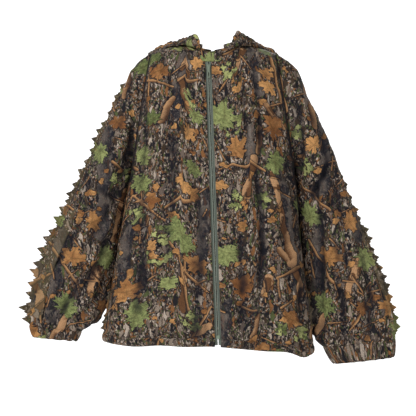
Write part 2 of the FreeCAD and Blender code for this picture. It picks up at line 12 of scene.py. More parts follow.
import bpy
import numpy as np
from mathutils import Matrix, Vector


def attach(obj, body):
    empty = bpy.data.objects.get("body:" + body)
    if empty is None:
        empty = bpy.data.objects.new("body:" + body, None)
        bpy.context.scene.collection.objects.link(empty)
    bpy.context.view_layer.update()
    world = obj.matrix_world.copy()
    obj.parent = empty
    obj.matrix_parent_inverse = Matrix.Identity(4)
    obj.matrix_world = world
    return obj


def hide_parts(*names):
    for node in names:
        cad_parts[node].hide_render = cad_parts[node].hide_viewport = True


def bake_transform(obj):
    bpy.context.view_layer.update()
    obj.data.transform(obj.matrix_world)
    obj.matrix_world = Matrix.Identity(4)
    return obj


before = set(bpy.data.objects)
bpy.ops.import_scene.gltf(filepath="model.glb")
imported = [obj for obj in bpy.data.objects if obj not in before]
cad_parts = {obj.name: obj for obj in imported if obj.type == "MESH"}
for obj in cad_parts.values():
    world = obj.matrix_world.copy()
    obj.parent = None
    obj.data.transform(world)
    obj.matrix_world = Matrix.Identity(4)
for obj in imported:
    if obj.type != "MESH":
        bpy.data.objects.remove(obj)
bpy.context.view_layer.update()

MM = 0.001

# %% [markdown]
# ## Cloth as a grid
# A garment panel is cut flat and then bent, so each one is a grid of points with two sets of places:
# where a point hangs, and where it lies on the flat cloth. The flat place carries the print, so the
# print follows every fold, as it does on real cloth. A little thickness gives each edge a real turn.

# %% Grids and their flat cloth
CLOTH = 0.7 * MM


def add_object(name, mesh):
    """A mesh as an object of the scene, shaded smooth."""
    for polygon in mesh.polygons:
        polygon.use_smooth = True
    obj = bpy.data.objects.new(name, mesh)
    bpy.context.scene.collection.objects.link(obj)
    return obj


def grid_mesh(name, points, flat, height=None):
    """A mesh from rows of points, with the place of each one on the flat cloth as its UV."""
    rows, columns = points.shape[:2]
    index = np.arange(rows * columns).reshape(rows, columns)
    faces = np.stack([index[:-1, :-1], index[:-1, 1:], index[1:, 1:], index[1:, :-1]], -1).reshape(-1, 4)
    mesh = bpy.data.meshes.new(name)
    mesh.from_pydata(points.reshape(-1, 3).tolist(), [], faces.tolist())
    layer = mesh.uv_layers.new(name="cloth")
    layer.data.foreach_set("uv", flat.reshape(-1, 2)[faces.reshape(-1)].astype(np.float32).ravel())
    fields = print_fields(flat.reshape(-1, 2))
    # This attribute holds each point's fold height, lowered further where painted shade is wanted along the
    # armholes and the sleeves' inner edges; the shader reads it only to paint shade into fold valleys.
    fields["fold_shade"] = np.zeros(rows * columns) if height is None else height.reshape(-1) * MM
    for field, values in fields.items():
        mesh.attributes.new(field, "FLOAT", "POINT").data.foreach_set("value", values.astype(np.float32))
    return add_object(name, mesh)


def applied(obj):
    """The same object with its modifiers worked into its mesh."""
    depsgraph = bpy.context.evaluated_depsgraph_get()
    mesh = bpy.data.meshes.new_from_object(obj.evaluated_get(depsgraph), preserve_all_data_layers=True,
                                           depsgraph=depsgraph)
    obj.modifiers.clear()
    obj.data = mesh
    return obj


def thickened(obj, thickness=CLOTH, offset=-1.0):
    solid = obj.modifiers.new("thickness", "SOLIDIFY")
    solid.thickness = thickness
    solid.offset = offset
    solid.use_even_offset = False
    return applied(obj)


def smooth(low, high, value):
    """0 below low, 1 above high, and an even bend between."""
    share = np.clip((value - low) / (high - low), 0.0, 1.0)
    return share * share * (3.0 - 2.0 * share)


def arc_length(points, axis):
    """Distance along the rows (axis 1) or columns (axis 0) of a grid from its first point."""
    steps = np.linalg.norm(np.diff(points, axis=axis), axis=-1)
    zero = np.zeros_like(np.take(steps, [0], axis=axis))
    return np.cumsum(np.concatenate([zero, steps], axis=axis), axis=axis)


# %% [markdown]
# ## The print
# The cloth is printed with forest litter: maple leaves, green oak leaves, twigs and chunks of bark over
# a dark ground of flakes. The tables list where the motifs lie on the repeat. Each motif gives its
# signed distance, in metres, at every point of the flat cloth. A distance blends evenly between points,
# so the shader cuts a crisp edge from it, however far apart the points are.

# %% The repeat, in millimetres on the flat front (x across, z up)
REPEAT = np.array([640.0, 800.0]) * MM
GREEN_LEAVES = [
    (-175, -45, 27), (-150, -208, 22), (-170, -300, 24), (-174, -362, 27), (-75, -488, 36), (-174, -700, 32),
    (30, -178, 36), (148, -315, 29), (33, -512, 33), (149, -18, 24), (-100, -617, 20), (-262, -515, 28),
    (-45, -178, 20), (-47, -308, 21), (240, -420, 30), (270, -640, 30), (-285, -250, 26),
]
GREEN_SPRIGS = [
    (44, -65, 24), (52, -200, 24), (50, -384, 20), (-120, -500, 24), (-130, -560, 26), (-55, -683, 20),
    (-190, -440, 24), (148, -726, 18), (-60, -140, 20), (200, -200, 22), (-225, -330, 24), (195, -735, 20),
    (-110, -20, 26), (-70, -5, 22), (120, -420, 18), (230, -300, 22), (-250, -90, 22), (265, -90, 24),
]
ORANGE_LEAVES = [
    (-40, -50, 18), (-135, -90, 25), (142, -98, 18), (146, -126, 22), (8, -62, 14), (65, -118, 14),
    (149, -234, 31), (54, -259, 26), (-62, -227, 19), (-72, -364, 20), (-50, -372, 16), (15, -346, 16),
    (-146, -408, 21), (-40, -541, 26), (68, -452, 14), (61, -602, 28), (-195, -640, 30), (170, -704, 27),
    (-100, -455, 15), (-139, -529, 15), (135, -462, 11), (-300, -430, 24), (250, -240, 22), (290, -520, 28),
    (-240, -180, 22), (285, -30, 24), (-270, -640, 18), (-20, -772, 22), (100, -780, 20),
]
BARK = [   # x, z, length, width, turn from level in degrees
    (72, -55, 50, 17, 62), (-72, -150, 62, 19, -66), (-118, -190, 60, 17, 62), (-75, -78, 30, 13, 70),
    (152, -195, 78, 17, -42), (114, -265, 66, 13, 84), (86, -355, 80, 21, 68), (157, -420, 150, 15, -78),
    (190, -560, 160, 21, -74), (166, -552, 44, 15, -50), (-70, -618, 100, 13, 88), (120, -630, 46, 16, 75),
    (92, -706, 34, 15, 70), (-215, -70, 90, 15, 80), (-225, -420, 120, 14, 76), (255, -700, 90, 16, 60),
    (-30, -700, 40, 14, 35), (245, -130, 120, 17, -80), (-290, -560, 100, 18, 70), (20, -790, 60, 15, 10),
]
TWIGS = [   # x, z at one end, then at the other, and the width
    (-178, -100, -104, -136, 5), (-90, -122, -37, -86, 6), (-172, -92, -166, -190, 4), (12, -305, 46, -293, 5),
    (46, -293, 124, -344, 6), (149, -176, 186, -156, 4), (160, -45, 180, -150, 9), (-195, -395, -114, -467, 6),
    (-114, -434, -33, -378, 7), (-114, -506, -72, -566, 6), (-72, -566, -16, -607, 6), (145, -607, 233, -558, 7),
    (61, -645, 96, -670, 5), (149, -681, 191, -651, 5), (-174, -385, -172, -520, 4), (-70, -505, -66, -570, 5),
    (-76, -560, -58, -664, 6), (-250, -280, -190, -330, 6), (210, -340, 290, -400, 6), (-300, -120, -230, -30, 6),
    (230, -480, 300, -580, 6), (-240, -610, -300, -700, 6), (30, -20, 100, 5, 6), (-10, -640, -60, -740, 5),
]
# The dark, wide, soft bands are partly printed tree trunks and partly painted shade: on the front, several of
# them lie along the dark vertical fold valleys.
TRUNK_AND_SHADE_BANDS = [   # dark, wide and soft: x, z, length, width, turn
    (180, -470, 300, 34, -82), (90, -300, 120, 22, 88), (-85, -130, 150, 26, 84), (-25, -450, 160, 26, 85),
    (-205, -560, 170, 30, 86), (250, -560, 220, 30, 84), (-270, -330, 260, 34, 88), (110, -80, 130, 24, -82),
    (20, -690, 120, 26, 84), (280, -250, 200, 30, 86),
]


def wrapped(flat, x, z):
    """Places on the cloth as seen from a motif, with the repeat going round at its edges."""
    offset = flat - np.array([x, z]) * MM
    return (offset + REPEAT / 2) % REPEAT - REPEAT / 2


def turned(offset, degrees):
    angle = math.radians(degrees)
    c, s = math.cos(angle), math.sin(angle)
    return offset[:, 0] * c + offset[:, 1] * s, offset[:, 1] * c - offset[:, 0] * s


FAR = -20 * MM


def add_leaf(fields, name, flat, x, z, size, turn, lobes, depth, tone):
    """A lobed leaf: its edge goes in and out round the middle, with finer teeth on top."""
    offset = wrapped(flat, x, z)
    radius = size * MM
    rows = np.flatnonzero(np.hypot(offset[:, 0], offset[:, 1]) < 1.6 * radius)
    across, along = turned(offset[rows], turn)
    distance = np.hypot(across, along)
    angle = np.arctan2(along, across)
    lobe = np.abs(np.cos(lobes / 2 * angle)) ** 0.8
    edge = (1 - depth) + depth * lobe + 0.12 * np.cos(3 * lobes * angle + tone * 6) + 0.22 * np.cos(angle)
    edge = edge + 0.14 * np.sin(2 * angle + tone * 11) + 0.09 * np.sin(5 * lobes * angle + tone * 17)
    inside = (radius * edge - distance) * 0.7
    better = inside > fields[name][rows]
    rows, inside = rows[better], inside[better]
    fields[name][rows] = inside
    nearest = np.abs((angle[better] * lobes / (2 * math.pi) + 0.5) % 1.0 - 0.5) * 2 * math.pi / lobes
    fields["vein"][rows] = np.exp(-(distance[better] * nearest / (1.6 * MM)) ** 2)
    fields["tone"][rows] = tone


def add_bar(fields, name, flat, x, z, length, width, turn, tone):
    """A twig, a chunk of bark or a dark trunk band that is partly painted shade: a bar with round ends and an
    uneven width.
    """
    offset = wrapped(flat, x, z)
    half = length * MM / 2
    rows = np.flatnonzero(np.hypot(offset[:, 0], offset[:, 1]) < half + 2.5 * width * MM)
    along, across = turned(offset[rows], turn)
    across = across + 0.12 * width * MM * np.sin(along / (9 * MM) + tone * 9)
    past = np.maximum(np.abs(along) - half, 0.0)
    inside = width * MM / 2 * (1 + 0.18 * np.sin(along / (13 * MM) + tone * 5)) - np.hypot(past, across)
    better = inside > fields[name][rows]
    rows = rows[better]
    fields[name][rows] = inside[better]
    fields["side"][rows] = np.clip(across[better] / (width * MM / 2), -1.5, 1.5)
    fields["tone"][rows] = tone


def print_fields(flat):
    """Signed distances, in metres and positive inside, of every motif of the repeat."""
    chance = random.Random(7)
    names = ("trunk_and_shade", "bark", "twig", "orange", "green", "sprig")
    fields = {name: np.full(len(flat), FAR) for name in names}
    fields.update(vein=np.zeros(len(flat)), side=np.zeros(len(flat)), tone=np.full(len(flat), 0.5))
    for x, z, length, width, turn in TRUNK_AND_SHADE_BANDS:
        add_bar(fields, "trunk_and_shade", flat, x, z, length, width, turn, chance.random())
    for x, z, length, width, turn in BARK:
        add_bar(fields, "bark", flat, x, z, length, width, turn, chance.random())
    for x0, z0, x1, z1, width in TWIGS:
        turn = math.degrees(math.atan2(z1 - z0, x1 - x0))
        add_bar(fields, "twig", flat, (x0 + x1) / 2, (z0 + z1) / 2, math.hypot(x1 - x0, z1 - z0), width, turn,
                chance.random())
    for _ in range(110):
        x, z = chance.uniform(-320, 320), chance.uniform(-800, 0)
        add_bar(fields, "twig", flat, x, z, chance.uniform(18, 62), chance.uniform(2.2, 4.2),
                chance.uniform(0, 180), chance.random())
    for x, z, size in ORANGE_LEAVES:
        add_leaf(fields, "orange", flat, x, z, size, chance.uniform(0, 360), 5, 0.58, chance.random())
    for _ in range(110):
        x, z = chance.uniform(-320, 320), chance.uniform(-800, 0)
        add_leaf(fields, "orange", flat, x, z, chance.uniform(5, 10), chance.uniform(0, 360), 3, 0.45,
                 chance.random())
    for x, z, size in GREEN_LEAVES:
        add_leaf(fields, "green", flat, x, z, size, chance.uniform(0, 360), 7, 0.42, chance.random())
    for x, z, size in GREEN_SPRIGS:
        for _ in range(9):
            away, angle = chance.uniform(0.2, 1.0) * size, chance.uniform(0, 2 * math.pi)
            add_leaf(fields, "sprig", flat, x + away * math.cos(angle), z + away * math.sin(angle),
                     chance.uniform(6, 10), math.degrees(angle), 3, 0.6, chance.random())
    return fields


# %% [markdown]
# ## Shader sums
# A finish is mostly sums on numbers that change over the surface. Wrapping a socket in a small class
# lets those sums be written as Python, where each operator adds its own Math node. Any other node
# comes from one method, which takes its type, its settings and its inputs.

# %% The shader helpers
class Sum:
    """A number that changes over a surface."""

    def __init__(self, recipe, socket):
        self.recipe = recipe
        self.socket = socket

    def math(self, operation, first, second):
        node = self.recipe.add("ShaderNodeMath", {"operation": operation}, {0: first, 1: second})
        return Sum(self.recipe, node.outputs[0])

    def __add__(self, other):
        return self.math("ADD", self, other)

    def __sub__(self, other):
        return self.math("SUBTRACT", self, other)

    def __mul__(self, other):
        return self.math("MULTIPLY", self, other)

    def between(self, low, high, to_low=0.0, to_high=1.0):
        """An even bend from one value to another as the number goes from low to high."""
        node = self.recipe.add("ShaderNodeMapRange", {"interpolation_type": "SMOOTHSTEP"},
                               {"Value": self, "From Min": low, "From Max": high, "To Min": to_low,
                                "To Max": to_high})
        return Sum(self.recipe, node.outputs["Result"])


class Recipe:
    """A material and the nodes it is made of."""

    def __init__(self, name):
        self.material = bpy.data.materials.new(name)
        self.material.use_nodes = True
        self.tree = self.material.node_tree
        self.shader = self.tree.nodes["Principled BSDF"]

    def add(self, kind, settings=None, inputs=None):
        node = self.tree.nodes.new(kind)
        for name, value in (settings or {}).items():
            setattr(node, name, value)
        for name, value in (inputs or {}).items():
            self.feed(node.inputs[name], value)
        return node

    def feed(self, socket, value):
        if isinstance(value, Sum):
            self.tree.links.new(value.socket, socket)
        elif isinstance(value, bpy.types.NodeSocket):
            self.tree.links.new(value, socket)
        else:
            socket.default_value = value

    def field(self, name):
        return Sum(self, self.add("ShaderNodeAttribute", {"attribute_name": name}).outputs["Fac"])

    def noise(self, place, scale, detail=3.0, roughness=0.55):
        node = self.add("ShaderNodeTexNoise", None, {"Vector": place, "Scale": scale, "Detail": detail,
                                                     "Roughness": roughness})
        return Sum(self, node.outputs["Fac"])

    def mix(self, share, first, second):
        node = self.add("ShaderNodeMix", {"data_type": "RGBA"})
        sockets = [s for s in node.inputs if s.enabled]
        for socket, value in zip(sockets, (share, first, second)):
            self.feed(socket, value)
        return next(s for s in node.outputs if s.enabled)

    def shade(self, **inputs):
        for name, value in inputs.items():
            self.feed(self.shader.inputs[name.replace("_", " ")], value)
        return self.material


# %% [markdown]
# ## The printed cloth
# The ground of the print is a carpet of small flakes, dark between and grey, tan and rust on top. Two
# scales of cells make them, stretched by a slow noise so that no row of cells shows. The motifs go on
# top in a printer's order, each with a dark key line round it, which comes from the same distance.

# %% The printed cloth's finish
DARK = (0.005, 0.005, 0.007, 1)
KEY_LINE = 1.3 * MM


def printed_cloth(name, fade=0.0):
    """The print, with this share of plain leaf brown over it."""
    recipe = Recipe(name)
    cloth = recipe.add("ShaderNodeUVMap", {"uv_map": "cloth"}).outputs["UV"]
    swirl = recipe.add("ShaderNodeTexNoise", None, {"Vector": cloth, "Scale": 32.0, "Detail": 2.0})
    push = recipe.add("ShaderNodeVectorMath", {"operation": "SCALE"},
                      {0: swirl.outputs["Color"], "Scale": 0.018})
    place = recipe.add("ShaderNodeVectorMath", {"operation": "ADD"}, {0: cloth, 1: push.outputs[0]}).outputs[0]

    def flakes(scale, stretch, turn):
        spin = recipe.add("ShaderNodeMapping", None, {"Vector": place, "Rotation": (0, 0, turn),
                                                      "Scale": (scale, scale * stretch, scale)})
        cells = recipe.add("ShaderNodeTexVoronoi", {"voronoi_dimensions": "2D"},
                           {"Vector": spin.outputs[0], "Scale": 1.0, "Randomness": 1.0})
        edges = recipe.add("ShaderNodeTexVoronoi", {"voronoi_dimensions": "2D", "feature": "DISTANCE_TO_EDGE"},
                           {"Vector": spin.outputs[0], "Scale": 1.0, "Randomness": 1.0})
        colour = recipe.add("ShaderNodeSeparateColor", None, {"Color": cells.outputs["Color"]})
        inside = Sum(recipe, edges.outputs["Distance"]).between(0.06, 0.16)
        return inside, Sum(recipe, colour.outputs[0]), Sum(recipe, colour.outputs[1])

    slow = recipe.noise(cloth, 14.0)
    ground = recipe.mix(slow.between(0.38, 0.62), (0.006, 0.006, 0.009, 1), (0.026, 0.018, 0.013, 1))
    palette = ((0.0, (0.010, 0.009, 0.010, 1)), (0.24, (0.105, 0.078, 0.062, 1)),
               (0.40, (0.040, 0.026, 0.016, 1)), (0.54, (0.200, 0.155, 0.120, 1)),
               (0.67, (0.165, 0.072, 0.026, 1)), (0.78, (0.062, 0.072, 0.026, 1)),
               (0.89, (0.320, 0.262, 0.212, 1)))
    for scale, stretch, turn, share in ((190.0, 0.50, 0.7, 0.62), (300.0, 0.65, 2.2, 0.60),
                                        (360.0, 0.5, 1.3, 0.52), (130.0, 0.32, 1.8, 0.26)):
        inside, pick, shade = flakes(scale, stretch, turn)
        stops = recipe.add("ShaderNodeValToRGB")
        ramp = stops.color_ramp
        ramp.interpolation = "CONSTANT"
        ramp.elements[0].color = palette[0][1]
        ramp.elements[1].position, ramp.elements[1].color = palette[1]
        for position, colour in palette[2:]:
            ramp.elements.new(position).color = colour
        recipe.feed(stops.inputs["Fac"], shade)
        ground = recipe.mix(inside * pick.between(0.99 - share, 1.01 - share), ground, stops.outputs["Color"])

    fine = recipe.noise(cloth, 520.0, 2.0)
    blotch = recipe.noise(place, 150.0, 3.0, 0.7)
    patch = recipe.noise(place, 60.0, 3.0)
    tone = recipe.field("tone")
    side = recipe.field("side")
    vein = recipe.field("vein")
    ragged = (recipe.noise(cloth, 210.0, 3.0) - 0.5) * (6.0 * MM) + (patch - 0.5) * (7.0 * MM)
    torn = ragged + (blotch - 0.54) * (17.0 * MM)
    streak = (side * 2.2 + patch * 3.0 + fine * 0.8)
    layers = (
        # Trunk bands, partly painted shade: soft bands from near black to grey, with a weaker key line.
        ("trunk_and_shade", recipe.mix((blotch * 0.7 + streak * 0.15).between(0.45, 0.85), (0.014, 0.014, 0.019, 1),
                             (0.105, 0.086, 0.074, 1)), 0.62, torn),
        ("bark", recipe.mix((side + patch * 1.2 + blotch * 1.1).between(0.2, 1.9), (0.092, 0.042, 0.018, 1),
                            (0.330, 0.185, 0.092, 1)), 1.0, ragged),
        ("twig", recipe.mix((side + fine + blotch).between(0.0, 1.9), (0.105, 0.050, 0.022, 1),
                            (0.350, 0.190, 0.085, 1)), 1.0, ragged * 0.35),
        ("sprig", recipe.mix((tone * 0.6 + blotch * 0.8).between(0.3, 1.0), (0.050, 0.066, 0.020, 1),
                             (0.300, 0.310, 0.120, 1)), 1.0, torn),
        ("orange", recipe.mix((tone * 0.55 + patch * 0.7 + blotch * 0.3).between(0.35, 1.1),
                              (0.150, 0.058, 0.019, 1), (0.400, 0.205, 0.075, 1)), 1.0, ragged),
        ("green", recipe.mix((tone * 0.35 + blotch * 1.0).between(0.35, 1.0), (0.052, 0.072, 0.022, 1),
                             (0.240, 0.265, 0.100, 1)), 1.0, torn),
    )
    colour = ground
    for field, ink, strength, edge in layers:
        distance = recipe.field(field) + edge
        colour = recipe.mix(distance.between(-2.6 * KEY_LINE, -0.3 * KEY_LINE) * (0.8 * strength), colour, DARK)
        if field in ("orange", "green"):
            ink = recipe.mix(vein * 0.5, ink, (0.045, 0.030, 0.012, 1))
        colour = recipe.mix(distance.between(-0.3 * KEY_LINE, 0.5 * KEY_LINE) * strength, colour, ink)
    colour = recipe.mix(fine.between(0.35, 0.70) * 0.48, colour, DARK)
    # Painted shade: where the fold attribute is low, in fold valleys and along the armholes and the sleeves'
    # inner edges, the colour is mixed towards near black.
    fold_valley_shade = recipe.field("fold_shade").between(-9.0 * MM, 2.5 * MM, 0.88, 0.0)
    colour = recipe.mix(fold_valley_shade, colour, (0.006, 0.006, 0.009, 1))
    if fade:
        colour = recipe.mix(fade, colour, (0.135, 0.105, 0.052, 1))

    threads = recipe.add("ShaderNodeTexWave", {"wave_type": "BANDS", "bands_direction": "X"},
                         {"Vector": cloth, "Scale": 420.0, "Distortion": 0.4})
    picks = recipe.add("ShaderNodeTexWave", {"wave_type": "BANDS", "bands_direction": "Y"},
                       {"Vector": cloth, "Scale": 420.0, "Distortion": 0.4})
    weave = Sum(recipe, threads.outputs["Fac"]) * Sum(recipe, picks.outputs["Fac"])
    crumple = recipe.noise(cloth, 55.0, 3.0)
    bump = recipe.add("ShaderNodeBump", None, {"Strength": 0.35, "Distance": 0.0006,
                                               "Height": weave * 0.25 + crumple})
    rough = crumple.between(0.3, 0.7, 0.74, 0.88)
    recipe.shader.inputs["Specular IOR Level"].default_value = 0.08
    return recipe.shade(Base_Color=colour, Roughness=rough, Normal=bump.outputs["Normal"])


PRINTED = printed_cloth("printed cloth")
LEAF_CLOTH = printed_cloth("leaf cloth", 0.24)
print("printed cloth:", len(PRINTED.node_tree.nodes), "nodes")

# %% [markdown]
# ## The shape of the jacket
# A hanging jacket is a few smooth curves with folds laid over them. The body is an oval that widens to
# the hem. Each sleeve is a flattened tube, given by where its inner and outer edges hang. The lengths
# here are in millimetres, as a pattern cutter would give them, and the grids turn them into metres.

# %% Smooth curves
def spline(keys, values, at):
    """A smooth curve through values at keys, read off at each place asked for."""
    keys, values, at = (np.asarray(numbers, float) for numbers in (keys, values, at))
    slopes = np.gradient(values, keys, axis=0)
    i = np.clip(np.searchsorted(keys, at, side="right") - 1, 0, len(keys) - 2)
    span = keys[i + 1] - keys[i]
    s = (at - keys[i]) / span
    shape = (-1,) + (1,) * (values.ndim - 1)
    s, span = s.reshape(shape), span.reshape(shape)
    return ((1 + 2 * s) * (1 - s) ** 2 * values[i] + s * (1 - s) ** 2 * span * slopes[i]
            + s * s * (3 - 2 * s) * values[i + 1] + s * s * (s - 1) * span * slopes[i + 1])


def even(points, count):
    """The same line of points, spaced evenly along it."""
    places = arc_length(points[None], 1)[0]
    wanted = np.linspace(0, places[-1], count)
    return np.stack([np.interp(wanted, places, points[:, k]) for k in range(points.shape[1])], -1)


def normals(points):
    """Unit normals of a grid of points."""
    n = np.cross(np.gradient(points, axis=0), np.gradient(points, axis=1))
    return n / np.maximum(np.linalg.norm(n, axis=-1, keepdims=True), 1e-9)


# %% [markdown]
# ### Folds
# A fold is a soft ridge or valley along a line, as seen from the front. Long ones run from the points
# that the cloth hangs from, and short ones gather where elastic draws it in. A crumple of finer creases
# lies over them all, sharp along its ridges and round between, because a crease can't be smooth.

# %% Folds, gathers and crumples
def folds(x, z, table):
    """Height of a table of folds at each place: (x0, z0, x1, z1, width, height)."""
    height = np.zeros_like(x)
    for x0, z0, x1, z1, width, rise in table:
        length = math.hypot(x1 - x0, z1 - z0)
        ux, uz = (x1 - x0) / length, (z1 - z0) / length
        along = (x - x0) * ux + (z - z0) * uz
        bow = 0.05 * length * np.sin(math.pi * np.clip(along / length, 0, 1))
        across = (x - x0) * -uz + (z - z0) * ux - bow
        ends = smooth(-0.15 * length, 0.25 * length, along) * (1 - smooth(0.7 * length, 1.15 * length, along))
        profile = np.exp(-np.abs(across / width) ** 1.6) - 0.35 * np.exp(-((across / width - 1.7) / 0.9) ** 2)
        height = height + rise * ends * profile
    return height


def crumple(x, z, seed, size=1.0):
    """Creases of the cloth itself: three sizes of ridge, each from a few crossing waves."""
    chance = random.Random(seed)
    height = np.zeros_like(x)
    for pitch, rise in ((105.0, 2.6), (52.0, 1.5), (27.0, 0.75)):
        wave = np.zeros_like(x)
        for _ in range(5):
            turn, phase = chance.uniform(0, math.pi), chance.uniform(0, 6.3)
            lean = chance.uniform(0.7, 1.3)
            bend = 0.9 * np.sin((x * math.sin(turn) - z * math.cos(turn)) / (pitch * 0.9) + phase)
            wave = wave + np.sin((x * math.cos(turn) + z * math.sin(turn)) * 6.283 * lean / pitch
                                 + phase + bend)
        height = height + rise * size * (1 - np.abs(wave) / 1.9)
    return height


def edge_fade(shape, widths, spacing):
    """1 inside a grid and 0 at its edges, over widths in mm: (first column, last, first row, last)."""
    rows, columns = shape
    across = np.arange(columns) * spacing
    down = np.arange(rows) * spacing
    fade = np.ones(shape)
    for k, (places, back) in enumerate(((across, False), (across, True), (down, False), (down, True))):
        if widths[k]:
            line = smooth(0, widths[k], places[::-1] if back else places)
            fade = fade * (line[None, :] if k < 2 else line[:, None])
    return fade


# %% [markdown]
# ### The body
# The zip leans a little, and the hem swings to the wearer's right and drops on the left. Every panel
# starts at the neck and shoulder seam, rolls over the shoulder, and hangs to the hem seam.

# %% The lines of the body, in mm
UNDERARM, HEM = 290.0, 722.0
ARM_TIP = (158.0, 9.0)
PITCH = 3.2          # between the points of a grid
HALF_GAP = 7.5       # from the zip's middle to a front panel's edge
NECK_WIDE, NECK_DEEP, NECK_RISE = 66.0, 60.0, 12.0
FRONT_DIP, BACK_DIP = 22.0, 10.0     # how far the neckline drops at its front and back


def half_depth(drop):
    return 74.0 + (drop - 60.0) * 44.0 / 662.0


def zip_x(drop):
    return -12.0 + 24.0 * (drop - 32.0) / 682.5


def side_x(drop, sign):
    """x of the side: the armhole seam above the underarm, and the side seam below it."""
    share = (drop - UNDERARM) / (HEM - UNDERARM)
    seam = sign * (203.0 + 59.0 * share) - 13.0 * share
    hole = sign * (ARM_TIP[0] + 45.0 * np.clip((drop - ARM_TIP[1]) / (UNDERARM - ARM_TIP[1]), 0, 1))
    return np.where(drop > UNDERARM, seam, hole)


def side_y(drop):
    """How far the armhole seam stands off the middle plane."""
    share = np.clip((drop - ARM_TIP[1]) / (UNDERARM - ARM_TIP[1]), 0, 1)
    return 36.0 * np.sqrt(np.maximum(1 - (2 * share - 1) ** 2, 0))


HEM_SEAM = ((-280, -707), (-240, -711), (-200, -714), (-130, -710), (-67, -713), (0, -712), (60, -717),
            (130, -724), (190, -730), (225, -743), (255, -736))
FRONT_FOLDS = (
    (102, -60, 104, -330, 9, -7), (104, -300, 110, -620, 11, -9), (84, -90, 80, -420, 12, 5),
    (122, -120, 135, -600, 13, 6), (176, -70, 186, -330, 9, -7), (196, -330, 214, -700, 12, -8),
    (150, -40, 96, -190, 10, 4), (60, -26, 74, -240, 11, -4), (45, -60, 40, -560, 13, 4),
    (-150, -30, -104, -160, 11, 5), (-60, -26, -74, -250, 11, -4), (-112, -110, -120, -500, 14, -6),
    (-86, -160, -92, -640, 14, 5), (-150, -120, -146, -420, 12, 5), (-176, -90, -182, -330, 9, -6),
    (-178, -330, -206, -700, 14, -7), (-45, -300, -52, -700, 12, -5), (-140, -420, -160, -705, 13, 6),
    (56, -430, 62, -705, 12, -6), (150, -430, 160, -715, 12, 7), (-232, -460, -246, -700, 10, 5),
    (-20, -120, -120, -210, 16, 3), (20, -150, 96, -250, 15, 3), (-24, -640, -110, -560, 12, 3),
    (34, -650, 120, -590, 12, 3.5), (214, -520, 160, -600, 12, -4), (-215, -520, -150, -620, 13, -4),
)
BACK_FOLDS = (
    (0, -200, 4, -700, 16, 6), (-70, -190, -84, -690, 15, -7), (70, -190, 84, -690, 15, -7),
    (-130, -60, -150, -680, 14, 6), (130, -60, 150, -680, 14, 6), (-178, -90, -190, -420, 10, -6),
    (178, -90, 190, -420, 10, -6), (-40, -230, -30, -690, 14, -4), (42, -230, 34, -690, 14, -5),
    (-205, -340, -225, -700, 12, -6), (205, -340, 222, -700, 12, -6),
)


def top_edge(sign, facing):
    """The neckline from the middle to the neck point, then the shoulder seam to its tip."""
    start = math.asin((sign * zip_x(32.0) + HALF_GAP) / NECK_WIDE) if facing < 0 else 0.0
    turn = np.linspace(start, math.pi / 2, 120)
    dip = FRONT_DIP if facing < 0 else BACK_DIP
    neck = np.stack([NECK_WIDE * np.sin(turn), facing * NECK_DEEP * np.cos(turn),
                     NECK_RISE - dip * np.cos(turn) ** 2], -1)
    neck = even(neck, 26)
    out = np.sin(np.linspace(0, math.pi / 2, 40))[1:]
    seam = np.stack([NECK_WIDE + 92.0 * out, 0 * out,
                     NECK_RISE - 21.0 * out + 5.0 * np.sin(math.pi * out)], -1)
    edge = np.concatenate([neck, seam])
    edge[:, 0] *= sign
    return edge


